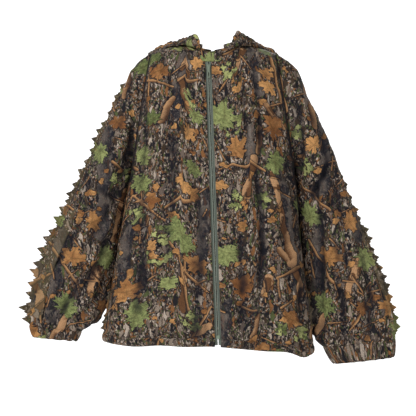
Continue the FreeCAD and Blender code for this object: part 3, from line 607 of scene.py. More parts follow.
def torso_panel(sign, facing):
    """Points in mm of a panel from the middle to the side, and their places on the flat cloth."""
    top = top_edge(sign, facing)
    middle = zip_x if facing < 0 else (lambda drop: 0 * drop)
    first = top[0, 0]
    share = (top[:, 0] - first) / (sign * ARM_TIP[0] - first)
    hem_drop = np.full(len(top), HEM)
    edge_in = middle(hem_drop) + (sign * HALF_GAP if facing < 0 else 0)
    hem_x = edge_in + (side_x(hem_drop, sign) - edge_in) * share
    hem_z = spline([x for x, z in HEM_SEAM], [z for x, z in HEM_SEAM], hem_x)
    rows = int(HEM / PITCH)
    down = np.linspace(0, 1, rows)[:, None]
    z = top[:, 2] + (hem_z - top[:, 2]) * down
    drop = -z
    inner = middle(drop) + (sign * HALF_GAP if facing < 0 else 0)
    x = inner + (side_x(drop, sign) - inner) * share
    x[0] = top[:, 0]
    reach = np.clip(np.abs(x - middle(drop)) / np.abs(side_x(drop, sign) - middle(drop)), 0, 1)
    edge = side_y(drop)
    body = edge + (half_depth(drop) - edge) * (1 - reach ** 2.25) ** (1 / 2.25)
    below = np.clip((drop - drop[0]) / (50.0 + 14.0 * (1 - share)), 0, 1)
    roll = np.sqrt(1 - (1 - below) ** 2)
    start_y = np.abs(top[:, 1])
    y = facing * (start_y + (body - start_y) * roll)
    points = np.stack([x, y, z], -1)

    across = arc_length(points, 1)
    lengths = arc_length(points, 0)
    level = min(len(points) - 1, int(200 / PITCH))
    flat_x = sign * (across[level] - across[level][0]) + points[level, 0, 0]
    flat = np.stack([flat_x + (points[..., 0] - points[level, :, 0]) * 0.6, top[:, 2] - lengths], -1)
    if facing > 0:
        flat[..., 0] += 320.0
    out = normals(points)
    out = out * np.where(out[..., 1:2] * facing < 0, -1, 1)
    out[..., 1] = np.where(reach > 0.97, out[..., 1] * 0.5, out[..., 1])
    fade = edge_fade(z.shape, (12, 0, 26, 0), PITCH) * (1 - smooth(0.90, 1.0, reach)
                                                         * np.where(drop < 330, 1, 0.6))
    height = 1.3 * folds(x, z, FRONT_FOLDS if facing < 0 else BACK_FOLDS)
    height = height + crumple(x, z, 3 if facing < 0 else 5)
    swing = smooth(380, 720, drop) * 3.2 * np.sin(x / 21.0 + 0.9 * np.sin(drop / 90.0) + facing)
    gather = np.exp(-(z - hem_z) / 34.0) * 2.0 * np.sin(flat[..., 0] / 2.9 + 1.3 * np.sin(flat[..., 0] / 11.0))
    height = (height + swing) * fade + gather * edge_fade(z.shape, (6, 6, 0, 0), PITCH)
    # Painted shade: above the underarm, the attribute returned for shading is lowered by up to 9 mm at the
    # armhole edge, so the cloth beside the sleeve is painted darker there; the points don't move.
    armhole = np.where(drop < 340, 9.0 * smooth(0.93, 1.0, reach), 0)
    return points + out * height[..., None], flat, height - armhole


def cloth_piece(name, points, flat, material, body, nodes=(), offset=-1.0, height=None):
    """A cloth panel from a grid in mm, for the nodes that it stands for. Given a body's name it rides on that
    body; given anything else it is only baked in place.
    """
    piece = thickened(grid_mesh(name, points * MM, flat * MM, height), offset=offset)
    piece.data.materials.append(material)
    if isinstance(body, str):
        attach(piece, body)
    else:
        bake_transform(piece)
    if nodes:
        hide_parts(*nodes)
    return piece


def declare(piece, points, strip=False):
    """The size of the cloth in a panel: its longest row by its longest column, and its area.

    A leaf-cut strip is as wide as its sewn edge, the first row, and as long as its tallest tip."""
    rows = arc_length(points, 1)[:, -1]
    across = round((rows[0] if strip else rows.max()) * MM, 4)
    length = round(arc_length(points, 0)[-1].max() * MM, 4)
    sides = np.cross(points[1:, :-1] - points[:-1, :-1], points[:-1, 1:] - points[:-1, :-1])
    area = float(np.linalg.norm(sides, axis=-1).sum()) * MM * MM
    area = min(area, across * length)
    print(f"{piece.name}: flat {across:.4f} by {length:.4f} m, {area:.5f} m2, "
          f"filling {area / (across * length):.3f}")


panels = {}
for name, sign, facing in (("front_right", -1, -1), ("front_left", 1, -1), ("back_right", -1, 1),
                           ("back_left", 1, 1)):
    panels[name] = torso_panel(sign, facing)
back_points = np.concatenate([panels["back_right"][0][:, ::-1], panels["back_left"][0][:, 1:]], 1)
back_flat = np.concatenate([panels["back_right"][1][:, ::-1], panels["back_left"][1][:, 1:]], 1)
back_height = np.concatenate([panels["back_right"][2][:, ::-1], panels["back_left"][2][:, 1:]], 1)

front_right = cloth_piece("front_right", *panels["front_right"][:2], PRINTED, "torso",
                          ["front_panel_right"], height=panels["front_right"][2])
front_left = cloth_piece("front_left", *panels["front_left"][:2], PRINTED, "torso",
                         ["front_panel_left"], 1.0, height=panels["front_left"][2])
back = cloth_piece("back", back_points, back_flat, PRINTED, "torso", ["back_panel"], height=back_height)

# %% [markdown]
# ### The hem
# The hem is a tunnel of the same cloth round an elastic. It starts on the last row of each panel, comes
# down, turns under and goes back up inside, and the elastic draws it in and puckers it.

# %% The hem's casings
def casing(row, flat_row, centre, height, draw, ripple):
    """A turned-under band from a row of points: out, down, round its edge and back up inside."""
    rows, flats = [], []
    out = row - centre
    out[:, 2] = 0
    out /= np.linalg.norm(out, axis=1, keepdims=True)
    places = arc_length(row[None], 1)[0]
    pucker = np.sin(places / 2.6 + 1.7 * np.sin(places / 13.0)) * ripple
    for down, inwards, share in ((0, 0, 0.0), (0.10, -0.7, 0.2), (0.25, -1.5, 0.6), (0.5, -1.9, 1.0),
                                 (0.75, -1.2, 1.0), (0.92, 0.2, 0.9), (1.0, 2.0, 0.8), (0.94, 4.0, 0.8),
                                 (0.7, 5.2, 0.9), (0.4, 5.6, 0.8), (0.12, 5.4, 0.5)):
        point = row - out * (inwards + draw * down - pucker * share)[:, None]
        point[:, 2] -= height * down
        rows.append(point)
        flats.append(flat_row - [0, len(rows) * height * 0.25])
    return np.array(rows), np.array(flats)


def refine(row, flat_row, pitch):
    """More points along a row, for puckers finer than the panel's grid."""
    places = arc_length(row[None], 1)[0]
    count = int(places[-1] / pitch)
    both = even(np.concatenate([row, flat_row], 1), count)
    return both[:, :3], both[:, 3:]


middle = np.array([-10.0, 0.0, -720.0])
hems = {}
for name, points, flat, nodes, body_piece in (
        ("hem_right", *panels["front_right"][:2], ["hem_casing_right", "hem_elastic"], front_right),
        ("hem_left", *panels["front_left"][:2], ["hem_casing_left"], front_left),
        ("hem_back", back_points, back_flat, ["hem_casing_back"], back)):
    row, flat_row = refine(points[-1], flat[-1], 1.5)
    rows, flats = casing(row, flat_row, middle, 21.0, 0.25, 1.1)
    hems[name] = cloth_piece(name, rows, flats, PRINTED, "torso", nodes, 0.0)
    declare(hems[name], rows)
declare(front_right, panels["front_right"][0])
declare(front_left, panels["front_left"][0])
declare(back, back_points)

# %% [markdown]
# ### The sleeves
# A sleeve starts on the armhole seam, so its first ring is the seam itself. Each later ring runs from
# the sleeve's inner edge to its outer one, and is flat, because an empty sleeve hangs closed.

# %% The sleeves
# Each station: inner x and z, outer x and z, half depth, and how far back the inner edge is tucked.
# The last line of each sleeve is the cuff's end.
SLEEVES = {
    "right": (-1, [
        (-203, -290, -158, -9, 36, 0), (-203, -298, -194, -35, 38, 14), (-203, -308, -229, -102, 40, 24),
        (-204, -320, -259, -166, 41, 30), (-206, -336, -287, -232, 42, 32), (-215, -385, -320, -304, 41, 33),
        (-226, -450, -354, -376, 40, 33), (-237, -520, -386, -444, 39, 33), (-249, -590, -417, -516, 38, 30),
        (-262, -638, -440, -588, 36, 16), (-290, -680, -452, -646, 33, 4), (-330, -702, -461, -690, 28, 0)],
        (-342, -724, -452, -722)),
    "left": (1, [
        (203, -290, 158, -9, 36, 0), (203, -298, 196, -33, 38, 14), (203, -308, 232, -100, 40, 24),
        (203, -320, 265, -172, 41, 30), (205, -338, 297, -246, 42, 32), (210, -390, 322, -318, 41, 33),
        (217, -460, 351, -396, 40, 33), (225, -530, 380, -466, 39, 33), (232, -600, 410, -542, 38, 33),
        (239, -660, 436, -618, 36, 30), (248, -706, 452, -676, 34, 18), (276, -742, 456, -722, 29, 4)],
        (300, -786, 454, -768)),
}
SLEEVE_FOLDS = {
    "right": (
        (-206, -90, -224, -330, 8, -6), (-186, -60, -262, -300, 13, 6), (-214, -120, -306, -360, 12, -5),
        (-240, -180, -330, -400, 10, 5), (-230, -330, -300, -470, 11, -6), (-244, -380, -330, -560, 12, 6),
        (-262, -460, -352, -640, 10, -6), (-300, -420, -400, -600, 12, 6), (-330, -430, -420, -560, 10, -5),
        (-280, -560, -372, -690, 9, 5), (-330, -560, -400, -690, 9, -6), (-390, -560, -424, -690, 8, 5),
        (-232, -345, -262, -300, 9, 6), (-240, -372, -296, -330, 8, -4), (-352, -620, -386, -700, 6, 4),
        (-250, -480, -330, -470, 10, -4), (-262, -520, -380, -500, 12, 4)),
    "left": (
        (204, -90, 214, -330, 8, -6), (188, -60, 262, -300, 13, 5), (222, -120, 306, -360, 13, -4),
        (272, -262, 226, -352, 10, 8), (284, -286, 236, -376, 9, -8), (296, -330, 240, -420, 10, 6),
        (246, -300, 262, -700, 8, -8), (300, -330, 330, -560, 11, -5), (268, -440, 300, -690, 11, 7),
        (322, -430, 372, -640, 12, 6), (350, -470, 400, -690, 10, -6), (372, -520, 430, -700, 9, 5),
        (300, -560, 330, -730, 8, -6), (340, -600, 360, -735, 7, 5), (376, -620, 394, -730, 7, -6),
        (300, -450, 380, -520, 12, 4), (286, -600, 380, -640, 12, -4)),
}
ELBOW = {"right": 0.60, "left": 0.58}


def sleeve_rings(stations, first, last, rows, columns):
    """Points of the sleeve between two shares of its length, and their places on the flat cloth."""
    stations = np.array(stations, float)
    centres = (stations[:, 0:2] + stations[:, 2:4]) / 2
    keys = np.concatenate([[0], np.cumsum(np.linalg.norm(np.diff(centres, axis=0), axis=1)
                                          + 0.35 * np.linalg.norm(np.diff(stations[:, 2:4], axis=0), axis=1))])
    keys /= keys[-1]
    at = spline(keys, stations, np.linspace(first, last, rows))
    inner, outer, depth, tuck = at[:, 0:2], at[:, 2:4], at[:, 4], at[:, 5]
    centre, arm = (inner + outer) / 2, (outer - inner) / 2
    turn = np.linspace(0, 2 * math.pi, columns) + math.pi / 2
    c, s = np.cos(turn), np.sin(turn)
    c, s = np.sign(c) * np.abs(c) ** 0.9, np.sign(s) * np.abs(s) ** 0.9
    x = centre[:, 0:1] + arm[:, 0:1] * c
    z = centre[:, 1:2] + arm[:, 1:2] * c
    y = depth[:, None] * s + tuck[:, None] * smooth(-0.1, 1.0, -c)
    points = np.stack([x, y, z], -1)
    around = arc_length(points, 1)
    around = around - around[:, columns // 2:columns // 2 + 1]
    long_way = arm / np.linalg.norm(arm, axis=1, keepdims=True)
    flat = centre[:, None, :] + long_way[:, None, :] * around[..., None]
    return points, flat, at


def sleeve_part(name, first, last, length):
    sign, stations = SLEEVES[name][:2]
    rows, columns = int(length / PITCH), 201
    points, flat, at = sleeve_rings(stations, first, last, rows, columns)
    front = np.sin(np.linspace(0, 2 * math.pi, columns) + math.pi / 2)[None, :] < 0
    centre = np.stack([(at[:, 0] + at[:, 2]) / 2, 0 * at[:, 0], (at[:, 1] + at[:, 3]) / 2], -1)[:, None, :]
    out = normals(points)
    out = out * np.where(np.sum(out * (points - centre), -1, keepdims=True) < 0, -1, 1)
    x, z = points[..., 0], points[..., 2]
    height = (np.where(front, 1.25, -0.8) * folds(x, z, SLEEVE_FOLDS[name])
              * smooth(0, 16, np.abs(points[..., 1])))
    height = height + 0.85 * crumple(flat[..., 0], flat[..., 1], 11 + sign) - 1.5
    share = np.linspace(first, last, rows)[:, None]
    near_seam = smooth(0.0, 0.05, share) * (1 - smooth(0.97, 1.0, share))
    gather = smooth(0.84, 1.0, share) * 3.0 * np.sin(flat[..., 0] / 4.4 + 1.2 * np.sin(flat[..., 0] / 17.0))
    height = height * near_seam + gather
    closing = np.minimum(smooth(0, 6, np.arange(columns)), smooth(0, 6, np.arange(columns)[::-1]))
    inner_shade = 8.0 * smooth(-0.35, 0.0, -np.hypot(x - at[:, 0:1], 0.5 * (z - at[:, 1:2])) / 40.0)
    return points + out * (height * closing)[..., None], flat, height * closing - inner_shade * front


def lift(sign):
    """The bodies that a sleeve would bend between, and where that bend would start and end, in metres. Nothing
    bends it: cloth_piece only bakes a piece given these in place.
    """
    return ("torso", "sleeve_right" if sign < 0 else "sleeve_left",
            (sign * 0.3065, 0, -0.081), (sign * 0.4595, 0, -0.155))


for name, (sign, _, cuff) in SLEEVES.items():
    split = ELBOW[name]
    upper = sleeve_part(name, 0.0, split, 430)
    lower = sleeve_part(name, split, 1.0, 300)
    upper_piece = cloth_piece(f"sleeve_upper_{name}_cloth", *upper[:2], PRINTED, lift(sign),
                              [f"sleeve_upper_{name}"], height=upper[2])
    lower_piece = cloth_piece(f"sleeve_lower_{name}_cloth", *lower[:2], PRINTED, lift(sign),
                              [f"sleeve_lower_{name}"], height=lower[2])
    declare(upper_piece, upper[0])
    declare(lower_piece, lower[0])
    row, flat_row = refine(lower[0][-1], lower[1][-1], 1.3)
    target = np.array([(cuff[0] + cuff[2]) / 2, 0, (cuff[1] + cuff[3]) / 2])
    half = math.hypot(cuff[2] - cuff[0], cuff[3] - cuff[1]) / 2
    seam_middle = row.mean(0)
    seam_half = np.ptp(row[:, 0]) / 2
    places = arc_length(row[None], 1)[0]
    pucker = np.sin(places / 2.5 + 1.9 * np.sin(places / 15.0))
    rows, flats = [], []
    for down, size, share in ((0, 0, 0), (0.12, 1.0, 0.3), (0.35, 1.6, 1.0), (0.65, 1.6, 1.0), (0.9, 0.6, 0.9),
                              (1.0, -1.5, 0.8), (0.9, -4.0, 0.8), (0.6, -4.8, 0.8), (0.2, -4.8, 0.5)):
        offset = row - seam_middle
        reach = offset / np.linalg.norm(offset, axis=1, keepdims=True)
        shrink = 1 + (half / seam_half - 1) * down
        point = seam_middle + (target - seam_middle) * down + offset * [shrink, 1 - 0.12 * down, shrink]
        rows.append(point + reach * (size + 0.9 * share * pucker)[:, None])
        flats.append(flat_row - [0, 6.0 * len(rows)])
    rows, flats = np.array(rows), np.array(flats)
    cuff_piece = cloth_piece(f"cuff_{name}", rows, flats, PRINTED, f"sleeve_{name}",
                             [f"cuff_casing_{name}", f"cuff_elastic_{name}"], 0.0)
    declare(cuff_piece, rows)

# %% [markdown]
# ### The leaf fringes
# The sleeves' outer seams hold strips of cloth cut into leaf tips. The tips are large towards the cuff
# and small at the shoulder. A strip is one grid, from the seam out to a jagged edge, and it curls.

# %% The leaf fringes
def leaf_strip(line, sign, heights, seed, base=0.28, curl=5.0, pitch=26.0):
    """A leaf-cut strip along a line of (x, y, z) points, standing out to one side in the XZ plane."""
    chance = random.Random(seed)
    root = even(np.array(line, float), int(arc_length(np.array(line, float)[None], 1)[0, -1] / 1.2))
    places = arc_length(root[None], 1)[0]
    total = places[-1]
    along = np.gradient(root, places, axis=0)
    outward = np.stack([-along[:, 2], 0 * places, along[:, 0]], -1)
    outward *= np.sign(outward[:, 0:1]) * sign
    outward /= np.linalg.norm(outward, axis=1, keepdims=True)
    tall = np.interp(places / total, np.linspace(0, 1, len(heights)), heights)
    reach = base * tall
    lean = np.zeros_like(places)
    twist = np.zeros_like(places)
    at = chance.uniform(0.3, 0.8) * pitch
    while at < total:
        high = np.interp(at / total, np.linspace(0, 1, len(heights)), heights) * chance.uniform(0.62, 1.12)
        wide = pitch * chance.uniform(0.42, 0.56)
        for offset, share, width in ((0, 1.0, 1.0), (-0.75, 0.58, 0.6), (0.8, 0.62, 0.6), (1.35, 0.42, 0.45)):
            from_tip = np.abs(places - at - offset * wide) / (wide * width)
            spike = high * share * np.maximum(1 - from_tip, 0) ** 0.75
            reach = np.maximum(reach, spike)
        near = np.exp(-((places - at) / wide) ** 2)
        lean += near * chance.uniform(-4, 9)
        twist += near * chance.uniform(-1, 1) * 5
        at += pitch * chance.uniform(0.75, 1.35)
    ends = smooth(0, 10, places) * smooth(0, 10, places[::-1])
    reach = reach * (0.15 + 0.85 * ends)
    share = np.linspace(0, 1, 8)[:, None, None]
    points = (root + outward * reach[:, None] * share + along * (lean * reach / 30)[:, None] * share ** 2
              + np.array([0, 1, 0]) * ((twist + curl * np.sin(places / 17.0)) * reach / 25)[:, None] * share ** 2)
    flat = np.stack([root[:, 0] + outward[:, 0] * reach * share[..., 0],
                     root[:, 2] + outward[:, 2] * reach * share[..., 0]], -1)
    return points, flat


def sleeve_edge(name, inset, out_y, first, last):
    """A line along a sleeve's outer seam, set in from it and off the middle plane."""
    at = sleeve_rings(SLEEVES[name][1], first, last, 60, 9)[2]
    arm = at[:, 2:4] - at[:, 0:2]
    long_way = arm / np.linalg.norm(arm, axis=1, keepdims=True)
    edge = at[:, 2:4] - long_way * inset
    return np.stack([edge[:, 0], np.full(60, float(out_y)), edge[:, 1]], -1)


FRINGES = (
    ("right", "sleeve_leaves_right", 2.0, 0.0, 0.10, 0.995, (12, 15, 22, 25, 28, 30, 32, 34, 34), 21),
    ("left", "sleeve_leaves_left", 2.0, 0.0, 0.36, 0.995, (10, 14, 18, 20, 22, 22, 20), 22),
)
for name, node, inset, out_y, first, last, heights, seed in FRINGES:
    sign = SLEEVES[name][0]
    points, flat = leaf_strip(sleeve_edge(name, inset, out_y, first, last), sign, heights, seed)
    piece = cloth_piece(f"{node}_cloth", points, flat, LEAF_CLOTH, lift(sign), [node], 0.0)
    declare(piece, points, strip=True)
for name, inset, out_y, first, last, heights, seed in (
        ("right", 30.0, -31.0, 0.52, 0.97, (20, 38, 44, 46, 40), 23),
        ("right", 13.0, 12.0, 0.16, 0.98, (8, 18, 22, 24, 26, 26, 26), 25),
        ("left", 12.0, -17.0, 0.50, 0.98, (12, 18, 20, 20), 24),
        ("left", 10.0, 12.0, 0.44, 0.98, (10, 18, 20, 18), 26)):
    sign = SLEEVES[name][0]
    points, flat = leaf_strip(sleeve_edge(name, inset, out_y, first, last), sign, heights, seed, base=0.55)
    piece = cloth_piece(f"leaf_layer_{seed}", points, flat, LEAF_CLOTH, lift(sign), (), 0.0)
    declare(piece, points, strip=True)
for name, sign, seed, high in (("right", -1, 31, 14.0), ("left", 1, 32, 12.0)):
    line = [(float(side_x(np.float64(drop), sign)), 0.0, -drop) for drop in np.linspace(600, 704, 20)]
    points, flat = leaf_strip(line, sign, (high, high), seed, pitch=18.0)
    piece = cloth_piece(f"side_leaves_{name}_cloth", points, flat, LEAF_CLOTH, "torso",
                        [f"side_leaves_{name}"], 0.0)
    declare(piece, points, strip=True)

# %% [markdown]
# ### The hood
# The hood lies back as an open bag. Its rim runs from the collar's front corners over the shoulders and
# sags behind the neck. From the rim the cloth goes out and down behind the back, folds under, and comes
# up the back to the neck seam.

# %% The hood
# For each key round the hood: rim, outside, bottom fold, inside and neck seam, as x, y, z.
HOOD = {
    "right": [
        (0.00, (-33, -61, 4), (-37, -63, 3), (-38, -62, 0), (-36, -61, -2), (-31, -60, -3)),
        (0.08, (-42, -52, 30), (-55, -55, 20), (-58, -52, 10), (-54, -50, 6), (-48, -48, 3)),
        (0.20, (-82, -10, 24), (-100, -12, 17), (-104, -6, 9), (-86, -12, 10), (-64, -18, 11)),
        (0.35, (-120, 38, 19), (-142, 46, 7), (-140, 54, -10), (-104, 34, 4), (-66, 8, 12)),
        (0.50, (-157, 82, 4), (-176, 102, -20), (-164, 104, -64), (-122, 74, -22), (-62, 24, 11)),
        (0.66, (-158, 122, -4), (-166, 144, -52), (-140, 124, -130), (-94, 89, -62), (-50, 40, 9)),
        (0.84, (-92, 160, 0), (-96, 180, -76), (-84, 142, -176), (-52, 92, -92), (-27, 55, 5)),
        (1.00, (0, 170, -4), (2, 186, -88), (0, 146, -186), (0, 94, -98), (0, 60, 3)),
    ],
    "left": [
        (0.00, (27, -63, -6), (32, -64, -6), (33, -63, -7), (31, -62, -7), (28, -61, -6)),
        (0.08, (50, -52, 16), (58, -53, 14), (60, -50, 8), (56, -48, 5), (48, -48, 3)),
        (0.15, (62, -38, 42), (78, -36, 32), (84, -30, 12), (72, -30, 10), (58, -32, 9)),
        (0.24, (94, -4, 25), (112, -6, 16), (114, 4, 6), (92, -4, 9), (64, -12, 12)),
        (0.36, (124, 38, 15), (146, 46, 5), (142, 56, -12), (106, 36, 3), (66, 8, 12)),
        (0.50, (158, 82, 3), (176, 102, -22), (164, 104, -66), (122, 74, -22), (62, 24, 11)),
        (0.66, (160, 122, -7), (168, 144, -54), (142, 124, -132), (94, 89, -62), (50, 40, 9)),
        (0.84, (94, 160, -3), (98, 180, -78), (86, 142, -178), (52, 92, -92), (27, 55, 5)),
        (1.00, (0, 170, -4), (2, 186, -88), (0, 146, -186), (0, 94, -98), (0, 60, 3)),
    ],
}


def hood_grid(side, first, last, columns, rows=130):
    keys = [key[0] for key in HOOD[side]]
    lines = np.array([key[1:] for key in HOOD[side]], float)
    at = spline(keys, lines.reshape(len(keys), -1), np.linspace(first, last, columns)).reshape(columns, 5, 3)
    down = np.linspace(0, 1, rows)
    grid = np.stack([spline([0, 0.24, 0.5, 0.74, 1.0], line, down) for line in at], 1)
    lengths = arc_length(grid, 0)
    across = arc_length(grid, 1)
    flat = np.stack([across[rows // 3][None, :] + 0 * lengths, -lengths], -1) + [first * 500, -120]
    out = normals(grid)
    x, y, z = grid[..., 0], grid[..., 1], grid[..., 2]
    share = np.linspace(first, last, columns)[None, :]
    room = smooth(0.05, 0.45, share) * smooth(0, 0.1, down)[:, None] * (1 - smooth(0.86, 1.0, down))[:, None]
    soft = smooth(0.0, 0.12, share) * (1 - smooth(0.8, 1.0, down))[:, None]
    wave = 3.4 * np.sin(flat[..., 0] / 15.0 + 1.5 * np.sin(flat[..., 1] / 38.0)) * room
    ripple = 1.5 * np.sin(across / 7.5 + 1.4 * np.sin(lengths / 16.0)) * soft
    creases = crumple(flat[..., 0], flat[..., 1], 41 if side == "right" else 43, 0.8) * room
    move = wave + ripple + creases
    move = np.clip(move, -6.0, 6.0) * np.where(y > 150, 0.7, 1.0)
    return grid + out * move[..., None], flat


NECK_BEND = ("torso", "hood", (0, 0.062, 0.02), (0, 0.125, 0.02))
hood_rows = {}
SEAM = 154       # the column where a side panel meets the centre one
HOOD_COLUMNS = 184
whole = {side: hood_grid(side, 0.0, 1.0, HOOD_COLUMNS) for side in ("right", "left")}
for name, side in (("hood_side_right", "right"), ("hood_side_left", "left")):
    points, flat = (grid[:, :SEAM + 1] for grid in whole[side])
    hood_rows[side] = points
    piece = cloth_piece(f"{name}_cloth", points, flat, PRINTED, NECK_BEND, [name], 0.0)
    declare(piece, points)
right_centre, right_flat = (grid[:, SEAM:] for grid in whole["right"])
left_centre, left_flat = (grid[:, SEAM:] for grid in whole["left"])
blend_in = np.linspace(0, 1, HOOD_COLUMNS - SEAM)[None, :, None] ** 3
meeting = (right_centre[:, -1:] + left_centre[:, -1:]) / 2
right_centre = right_centre + (meeting - right_centre[:, -1:]) * blend_in
left_centre = left_centre + (meeting - left_centre[:, -1:]) * blend_in
centre_points = np.concatenate([right_centre, left_centre[:, -2::-1]], 1)
beyond = ((left_flat[:, -1:] - left_flat[:, -2::-1]) * [1, 0]
          + (left_flat[:, -2::-1] - right_flat[:, -1:]) * [0, 1])
centre_flat = np.concatenate([right_flat, right_flat[:, -1:] + beyond], 1)
piece = cloth_piece("hood_centre_cloth", centre_points, centre_flat, PRINTED, NECK_BEND,
                    ["hood_centre_panel"], 0.0)
declare(piece, centre_points)

# The rim's tunnel: a soft roll of the same cloth along the hood's opening.
rim = even(np.concatenate([hood_rows["right"][0], centre_points[0][1:-1], hood_rows["left"][0][::-1]]), 700)
places = arc_length(rim[None], 1)[0]
along = np.gradient(rim, places, axis=0)
along /= np.linalg.norm(along, axis=1, keepdims=True)
up = np.array([0, 0, 1.0]) - along * along[:, 2:3]
up /= np.linalg.norm(up, axis=1, keepdims=True)
side_way = np.cross(along, up)
turn = np.linspace(0, 2 * math.pi, 15)[:, None, None]
pucker = 1 + 0.16 * np.sin(places / 2.4 + 1.6 * np.sin(places / 11.0))
narrow = smooth(0, 25, places) * smooth(0, 25, places[::-1]) * 0.75 + 0.25
rim_points = rim + (up * 6.5 * np.sin(turn) + side_way * 2.8 * np.cos(turn)) * (pucker * narrow)[None, :, None]
rim_points[..., 2] -= 4.0
rim_flat = np.stack([places[None, :] + 0 * turn[..., 0], -turn[..., 0] * 5.5 + 0 * places[None, :] - 40], -1)
piece = cloth_piece("hood_rim_cloth", rim_points, rim_flat, PRINTED, NECK_BEND,
                    ["hood_edge_casing", "hood_elastic"], 0.0)
declare(piece, rim_points)

# %% [markdown]
# ### The collar and the inside of the neck
# A low collar stands on the neck seam, in two halves. Behind the neck a plain woven tape covers the seam
# on the inside, with a loop to hang the jacket by.

# %% The collar, the neck tape and the hang loop
def neck_ring(turn, shrink=0.0):
    """The neck seam at an angle from the front, drawn in by shrink mm."""
    front = np.maximum(np.cos(turn), 0)
    rear = np.maximum(-np.cos(turn), 0)
    return np.stack([(NECK_WIDE - shrink) * np.sin(turn), -(NECK_DEEP - shrink) * np.cos(turn),
                     NECK_RISE - FRONT_DIP * front ** 2 - BACK_DIP * rear ** 2], -1)


def neck_band(turns, profile, ripple=0.0, at_back=1.0):
    """Rows of points from a profile of (rise, shrink); at the back the rise is this share of it."""
    rows, flats = [], []
    base = neck_ring(turns)
    places = arc_length(base[None], 1)[0]
    travelled = 0.0
    for k, (rise, shrink) in enumerate(profile):
        point = neck_ring(turns, shrink)
        point[:, 2] += rise * (at_back + (1 - at_back) * np.abs(np.cos(turns / 2)))
        point[:, :2] *= (1 + ripple * np.sin(places / 6.0 + 0.7 * k) / 60.0)[:, None]
        if k:
            travelled += math.hypot(rise - profile[k - 1][0], shrink - profile[k - 1][1])
        rows.append(point)
        flats.append(np.stack([places, -travelled + 0 * places], -1) + [20, -60])
    return np.array(rows), np.array(flats)


COLLAR = [(0, 0.4), (4, 1.4), (8, 2.4), (12, 3.0), (15, 2.6), (16.5, 1.2), (15.5, -0.8), (12, -1.8), (7, -2.2)]
for name, sign in (("right", -1), ("left", 1)):
    turns = sign * np.linspace(math.radians(24), math.radians(176), 170)
    points, flat = neck_band(turns, COLLAR, 1.2, 0.3)
    piece = cloth_piece(f"collar_{name}", points, flat, PRINTED, "torso", [f"hood_collar_{name}"], 0.0)
    declare(piece, points)


def woven(name, colour, rib=900.0, dark=0.55):
    """A plain woven tape: close ribs across it, painted darker between their crests as shade, and a little
    unevenness in its dye.
    """
    recipe = Recipe(name)
    cloth = recipe.add("ShaderNodeUVMap", {"uv_map": "cloth"}).outputs["UV"]
    ribs = recipe.add("ShaderNodeTexWave", {"wave_type": "BANDS", "bands_direction": "Y"},
                      {"Vector": cloth, "Scale": rib / 6.283, "Distortion": 0.3})
    rows = Sum(recipe, ribs.outputs["Fac"])
    grain = recipe.noise(cloth, 600.0, 2.0)
    shade = tuple(c * dark for c in colour[:3]) + (1,)
    # Painted shade in the grooves between the ribs, mixed with uneven dye from the grain.
    mixed = recipe.mix((rows * 0.6 + grain * 0.5).between(0.1, 0.9), shade, colour)
    bump = recipe.add("ShaderNodeBump", None, {"Strength": 0.5, "Distance": 0.0003, "Height": rows})
    recipe.shader.inputs["Sheen Weight"].default_value = 0.1
    return recipe.shade(Base_Color=mixed, Roughness=grain.between(0.3, 0.7, 0.7, 0.85),
                        Normal=bump.outputs["Normal"])


BINDING = woven("binding tape", (0.045, 0.055, 0.040, 1))
OLIVE = woven("zip tape", (0.098, 0.118, 0.094, 1), 1400.0)

turns = np.linspace(math.radians(98), math.radians(262), 120)
points, flat = neck_band(turns, [(-12.5, 1.6), (-8, 1.5), (-4, 1.4), (-0.5, 1.3)])
tape = cloth_piece("neck_tape_woven", points, flat, BINDING, "torso", ["neck_tape"], 0.0)
tape_points = points

share = np.linspace(0, 1, 60)
loop_line = np.stack([15.5 * np.cos(math.pi * share), 55.0 - 3.0 * np.sin(math.pi * share),
                      -3.0 - 19.0 * np.sin(math.pi * share) ** 0.8], -1)
across = np.stack([0 * share, 0.4 + 0 * share, 1.0 + 0 * share], -1)
points = np.stack([loop_line + across * k for k in np.linspace(-2.4, 2.4, 6)])
places = arc_length(loop_line[None], 1)[0]
flat = np.stack([np.stack([places, k + 0 * places], -1) for k in np.linspace(-2.4, 2.4, 6)])
loop = cloth_piece("hang_loop_woven", points, flat, BINDING, "torso", ["hang_loop"], 0.0)
declare(tape, tape_points)

# %% [markdown]
# ### The zip
# The zip is two woven tapes with a coil sewn along each. The coils are real helices, since their pitch
# shows up close. The slider, pull, box, pin and stops keep the shapes of the working model.

# %% The zip
FOOT = np.array([12.0, -112.9015, -714.5])
ACROSS = np.array([0.999384, 0.001138, 0.035069])
UP = np.array([-0.035069, 0.064823, 0.99728])
BACK = np.cross(UP, ACROSS)
RUN = 684.3


def in_zip(x, y, z):
    return FOOT + x[..., None] * ACROSS + y[..., None] * BACK + z[..., None] * UP


for name, sign in (("right", -1), ("left", 1)):
    z, x = np.meshgrid(np.linspace(RUN, -15.0, 184), sign * np.linspace(0.9, 15.0, 13), indexing="ij")
    welt = 0.35 * np.exp(-((np.abs(x) - 6.6) / 0.5) ** 2)
    points = in_zip(x, 0.4 - welt, z)
    piece = cloth_piece(f"zip_tape_{name}_woven", points, np.stack([x, z], -1), OLIVE, "torso",
                        [f"zip_tape_{name}"], 0.0)
    declare(piece, points)

